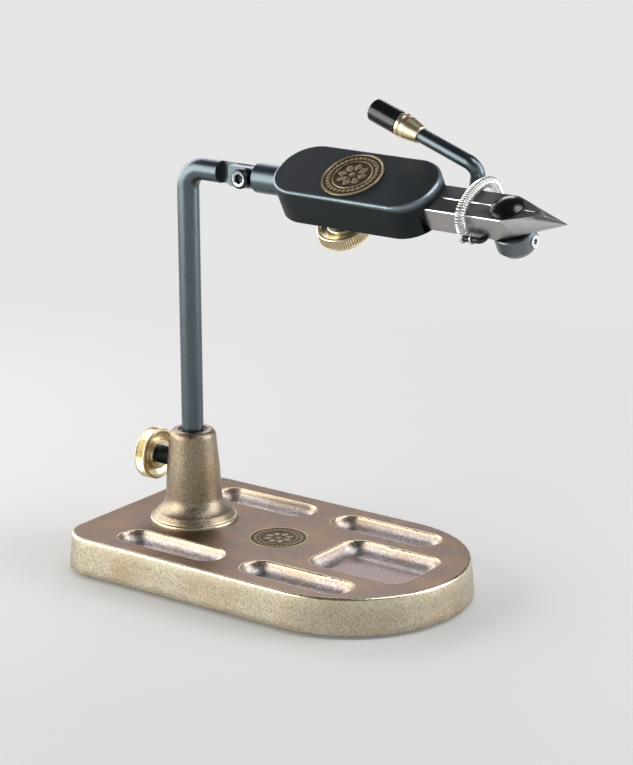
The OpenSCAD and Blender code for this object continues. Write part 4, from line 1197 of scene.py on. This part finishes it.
# %% Winding
COIL_R, FINE_WIRE, COIL_PITCH = 2.2, 0.66, 0.86
STEPS_A_TURN, WIRE_SIDES, DENSE_STEPS, NEARBY = 18, 8, 4001, 0.01
wound_r = COIL_R - FINE_WIRE / 2
dense = np.linspace(0, path_len, DENSE_STEPS)
rate = np.full_like(dense, 1 / COIL_PITCH)
for (length, bend_r), start in zip(STRETCHES, marks):
    if bend_r is not None:
        inside = (dense >= start) & (dense < start + length)
        rate[inside] *= 1 - 0.5 * wound_r / bend_r
turned = np.r_[0, np.cumsum((rate[1:] + rate[:-1]) / 2 * np.diff(dense))]
turn_count = int(turned[-1])
phase = np.linspace(0, turn_count, turn_count * STEPS_A_TURN + 1)
s = np.interp(phase, turned * turn_count / turned[-1], dense)
line = section(s)
ahead = unit(section(np.clip(s + NEARBY, 0, path_len)) - section(np.clip(s - NEARBY, 0, path_len)))
a = unit(np.cross(ahead, (1.0, 0, 0)))
b = np.cross(ahead, a)
out = a * np.cos(2 * np.pi * phase)[:, None] + b * np.sin(2 * np.pi * phase)[:, None]
make_piece("material_spring_wound", "jaw_right", materials["spring_steel"], [
    (in_head(sweep(line + wound_r * out, FINE_WIRE / 2, out, WIRE_SIDES)), True, {})],
    ["material_spring"], sharp=60)
print("turns of the spring:", turn_count)

# %% [markdown]
# The end wires close a turn under each end of the coil. The near one then loops round the bent pin
# beside the jaw, and the far one runs under both jaws to a loop of its own on the same pin. A wire
# could be a curve with a bevel depth. A swept grid was taken, because its arcs then have true radii,
# measured from the pin that they go round.

# %% Spring hooks
BAR_Y, BAR_Z, BAR_R = -10.9, -5.4, 1.3
HOOK_R, UNDER_Z = 0.35, -7.45
TURN_R, NEAR_LOOP_R, LOOP_TURN, LOOP_STEPS = 1.95, 2.4, 14, 40
# How far the middle line of an end turn lies under the end of the coil's own
END_DROP = 0.25 + HOOK_R + 0.04
far_y = SPRING_Y[1] - TURN_R
loop_r = BAR_Z - UNDER_Z


def end_turn(end, start, stop):
    """A level turn under one end of the coil, 0 or 1, between two angles in degrees."""
    a = np.radians(np.linspace(start, stop, LOOP_STEPS))[:, None]
    middle = np.array([SPRING_X[end], SPRING_Y[end], SPRING_LOW[end] - END_DROP])
    return middle + TURN_R * np.hstack([np.cos(a), np.sin(a), 0 * a])


def pin_loop(middle, radius, start, stop, turned=0):
    """A loop across the pin between two angles, turned about the head's up direction. All three
    are in degrees."""
    a = np.radians(np.linspace(start, stop, LOOP_STEPS))[:, None]
    ahead, aside = np.sin(np.radians(turned)), np.cos(np.radians(turned))
    return np.array(middle) + radius * np.hstack([ahead * np.cos(a), aside * np.cos(a), np.sin(a)])


near_wire = np.concatenate([end_turn(0, 375, 90), pin_loop(
    (SPRING_X[0], BAR_Y, BAR_Z + NEAR_LOOP_R - HOOK_R - BAR_R - FIT), NEAR_LOOP_R, 0, -205,
    LOOP_TURN)])
far_bend = rounded([(SPRING_X[1], far_y, SPRING_LOW[1] - END_DROP - 0.8),
                    (SPRING_X[1], far_y, UNDER_Z), (SPRING_X[1], 0.0, UNDER_Z)], 0.6, 8)
far_wire = np.concatenate([end_turn(1, -375, -90), far_bend, pin_loop(
    (SPRING_X[1], BAR_Y + loop_r - HOOK_R - BAR_R - FIT, BAR_Z), loop_r, -90, -330)])
make_piece("spring_hook_wires", "jaw_right", materials["spring_steel"], [
    (in_head(sweep(fine(wire, 0.5), HOOK_R, (1.0, 0.0, 1.0), 16)), True, {})
    for wire in (near_wire, far_wire)], ["spring_hooks"], sharp=60)

# %% [markdown]
# The pin is a short black bar. It runs along the jaw and then turns into its side at a right angle.
# As with the wires, a circle is carried along its middle line, and the bend is a true arc.

# %% Spring pin
PIN_FRONT, PIN_FOOT_Y, PIN_BEND_R = 153.0, -5.64, 2.0
pin_start = np.array([SPRING_X[0] - 0.5, BAR_Y, BAR_Z])
pin_corner = np.array([PIN_FRONT, BAR_Y, BAR_Z])
pin_end = np.array([PIN_FRONT, PIN_FOOT_Y, BAR_Z])
pin_bend = elbow(pin_start, pin_corner, pin_end, PIN_BEND_R, 16)
pin_path = np.concatenate([[pin_start], pin_bend, [pin_end]])
make_piece("spring_pin_bent", "jaw_right", materials["black_screw"], [
    (in_head(sweep(fine(pin_path, 0.8), BAR_R, (0.0, 0.0, 1.0), 32)), True, {})],
    ["spring_bar"], sharp=50)

# %% [markdown]
# ## The lever
#
# Squeezed towards the head, the lever turns the cam between the jaws. It is a round bar bent twice. A
# circle is carried along its middle line, where a bend is an arc that touches both straight
# stretches, as a bending tool leaves it. A curve with a bevel depth would do as well; the grid keeps
# all pieces made in one way.

# %% Lever rod
LEVER_A, LEVER_B, LEVER_C = (np.array(p) for p in (
    (131.5, 17.2, -11.5), (140.2, 15.7, 8.5), (86.2, 28.0, 21.0)))
LEVER_R, BEND_R, SPIGOT_R, GRIP_WALL = 3.0, 4.5, 3.5, 3
hub = np.array([CAM_X, 0, LEVER_A[2]])
start = hub + unit(LEVER_A * [1, 1, 0] - [CAM_X, 0, 0]) * (SPIGOT_R + 0.1)
handle = unit(LEVER_B - LEVER_C)
rod_end = LEVER_C + handle * GRIP_WALL
rod_path = np.concatenate([[start], elbow(hub, LEVER_A, LEVER_B, BEND_R, 20),
                           elbow(LEVER_A, LEVER_B, LEVER_C, BEND_R, 20), [rod_end]])
make_piece("lever_rod_bent", "lever", materials["blued_steel"], [
    (in_head(sweep(fine(rod_path, 1.5), LEVER_R, (0.0, 1.0, 1.0), 48)), True, {})],
    ["lever_rod"], sharp=50)

# %% [markdown]
# The ferrule is turned brass: a collar, a waist and a taper. The grip is moulded, with rounded ends
# and a blind hole for the bar. Both are round about the bar's last stretch, so their profiles are
# turned about it. A cylinder with bevels would do for the grip, but not for the ferrule.

# %% Ferrule and grip
GRIP_R, GRIP_LEN, FERRULE_LEN, HANDLE_COLUMNS = 4.99, 14.8, 11.2, 96
handle_side = unit(np.cross(handle, (0.0, 0.0, 1.0)))


def handle_axis(points, z=0.0):
    """From a frame whose Z runs along the handle from its free end, moved in by z."""
    return in_head(on_axes(points, LEVER_C + handle * z, handle_side,
                           np.cross(handle, handle_side), handle))


bore = LEVER_R + FIT
ferrule_line = fine(rounded([[bore, 0], [4.7, 0], [5.2, 0.5], [5.2, 1.6], [4.9, 2.6], [4.9, 4.2],
                             [3.7, FERRULE_LEN - 0.3], [3.4, FERRULE_LEN], [bore, FERRULE_LEN],
                             [bore, 0]], 0.25), 0.4)
length = np.r_[0, np.cumsum(np.linalg.norm(np.diff(ferrule_line, axis=0), axis=1))]
make_piece("lever_ferrule_turned", "lever", materials["turned_brass"], [
    (handle_axis(revolve(ferrule_line, HANDLE_COLUMNS), GRIP_LEN + FIT), True,
     {"turned": length[:, None]})], ["lever_ferrule"], sharp=35)
grip_line = np.concatenate([
    [[0, 0.0], [GRIP_R - 1.7, 0.0]], arc(GRIP_R - 1.2, 1.2, 1.2, 275, 360, 12),
    arc(GRIP_R - 0.3, GRIP_LEN - 0.3, 0.3, 0, 90, 5),
    [[bore, GRIP_LEN], [bore, GRIP_WALL - FIT], [0, GRIP_WALL - FIT]]])
make_piece("lever_grip_moulded", "lever", materials["grip_plastic"], [
    (handle_axis(revolve(fine(grip_line, 1.0), HANDLE_COLUMNS)), True, {})],
    ["lever_grip"], sharp=35)
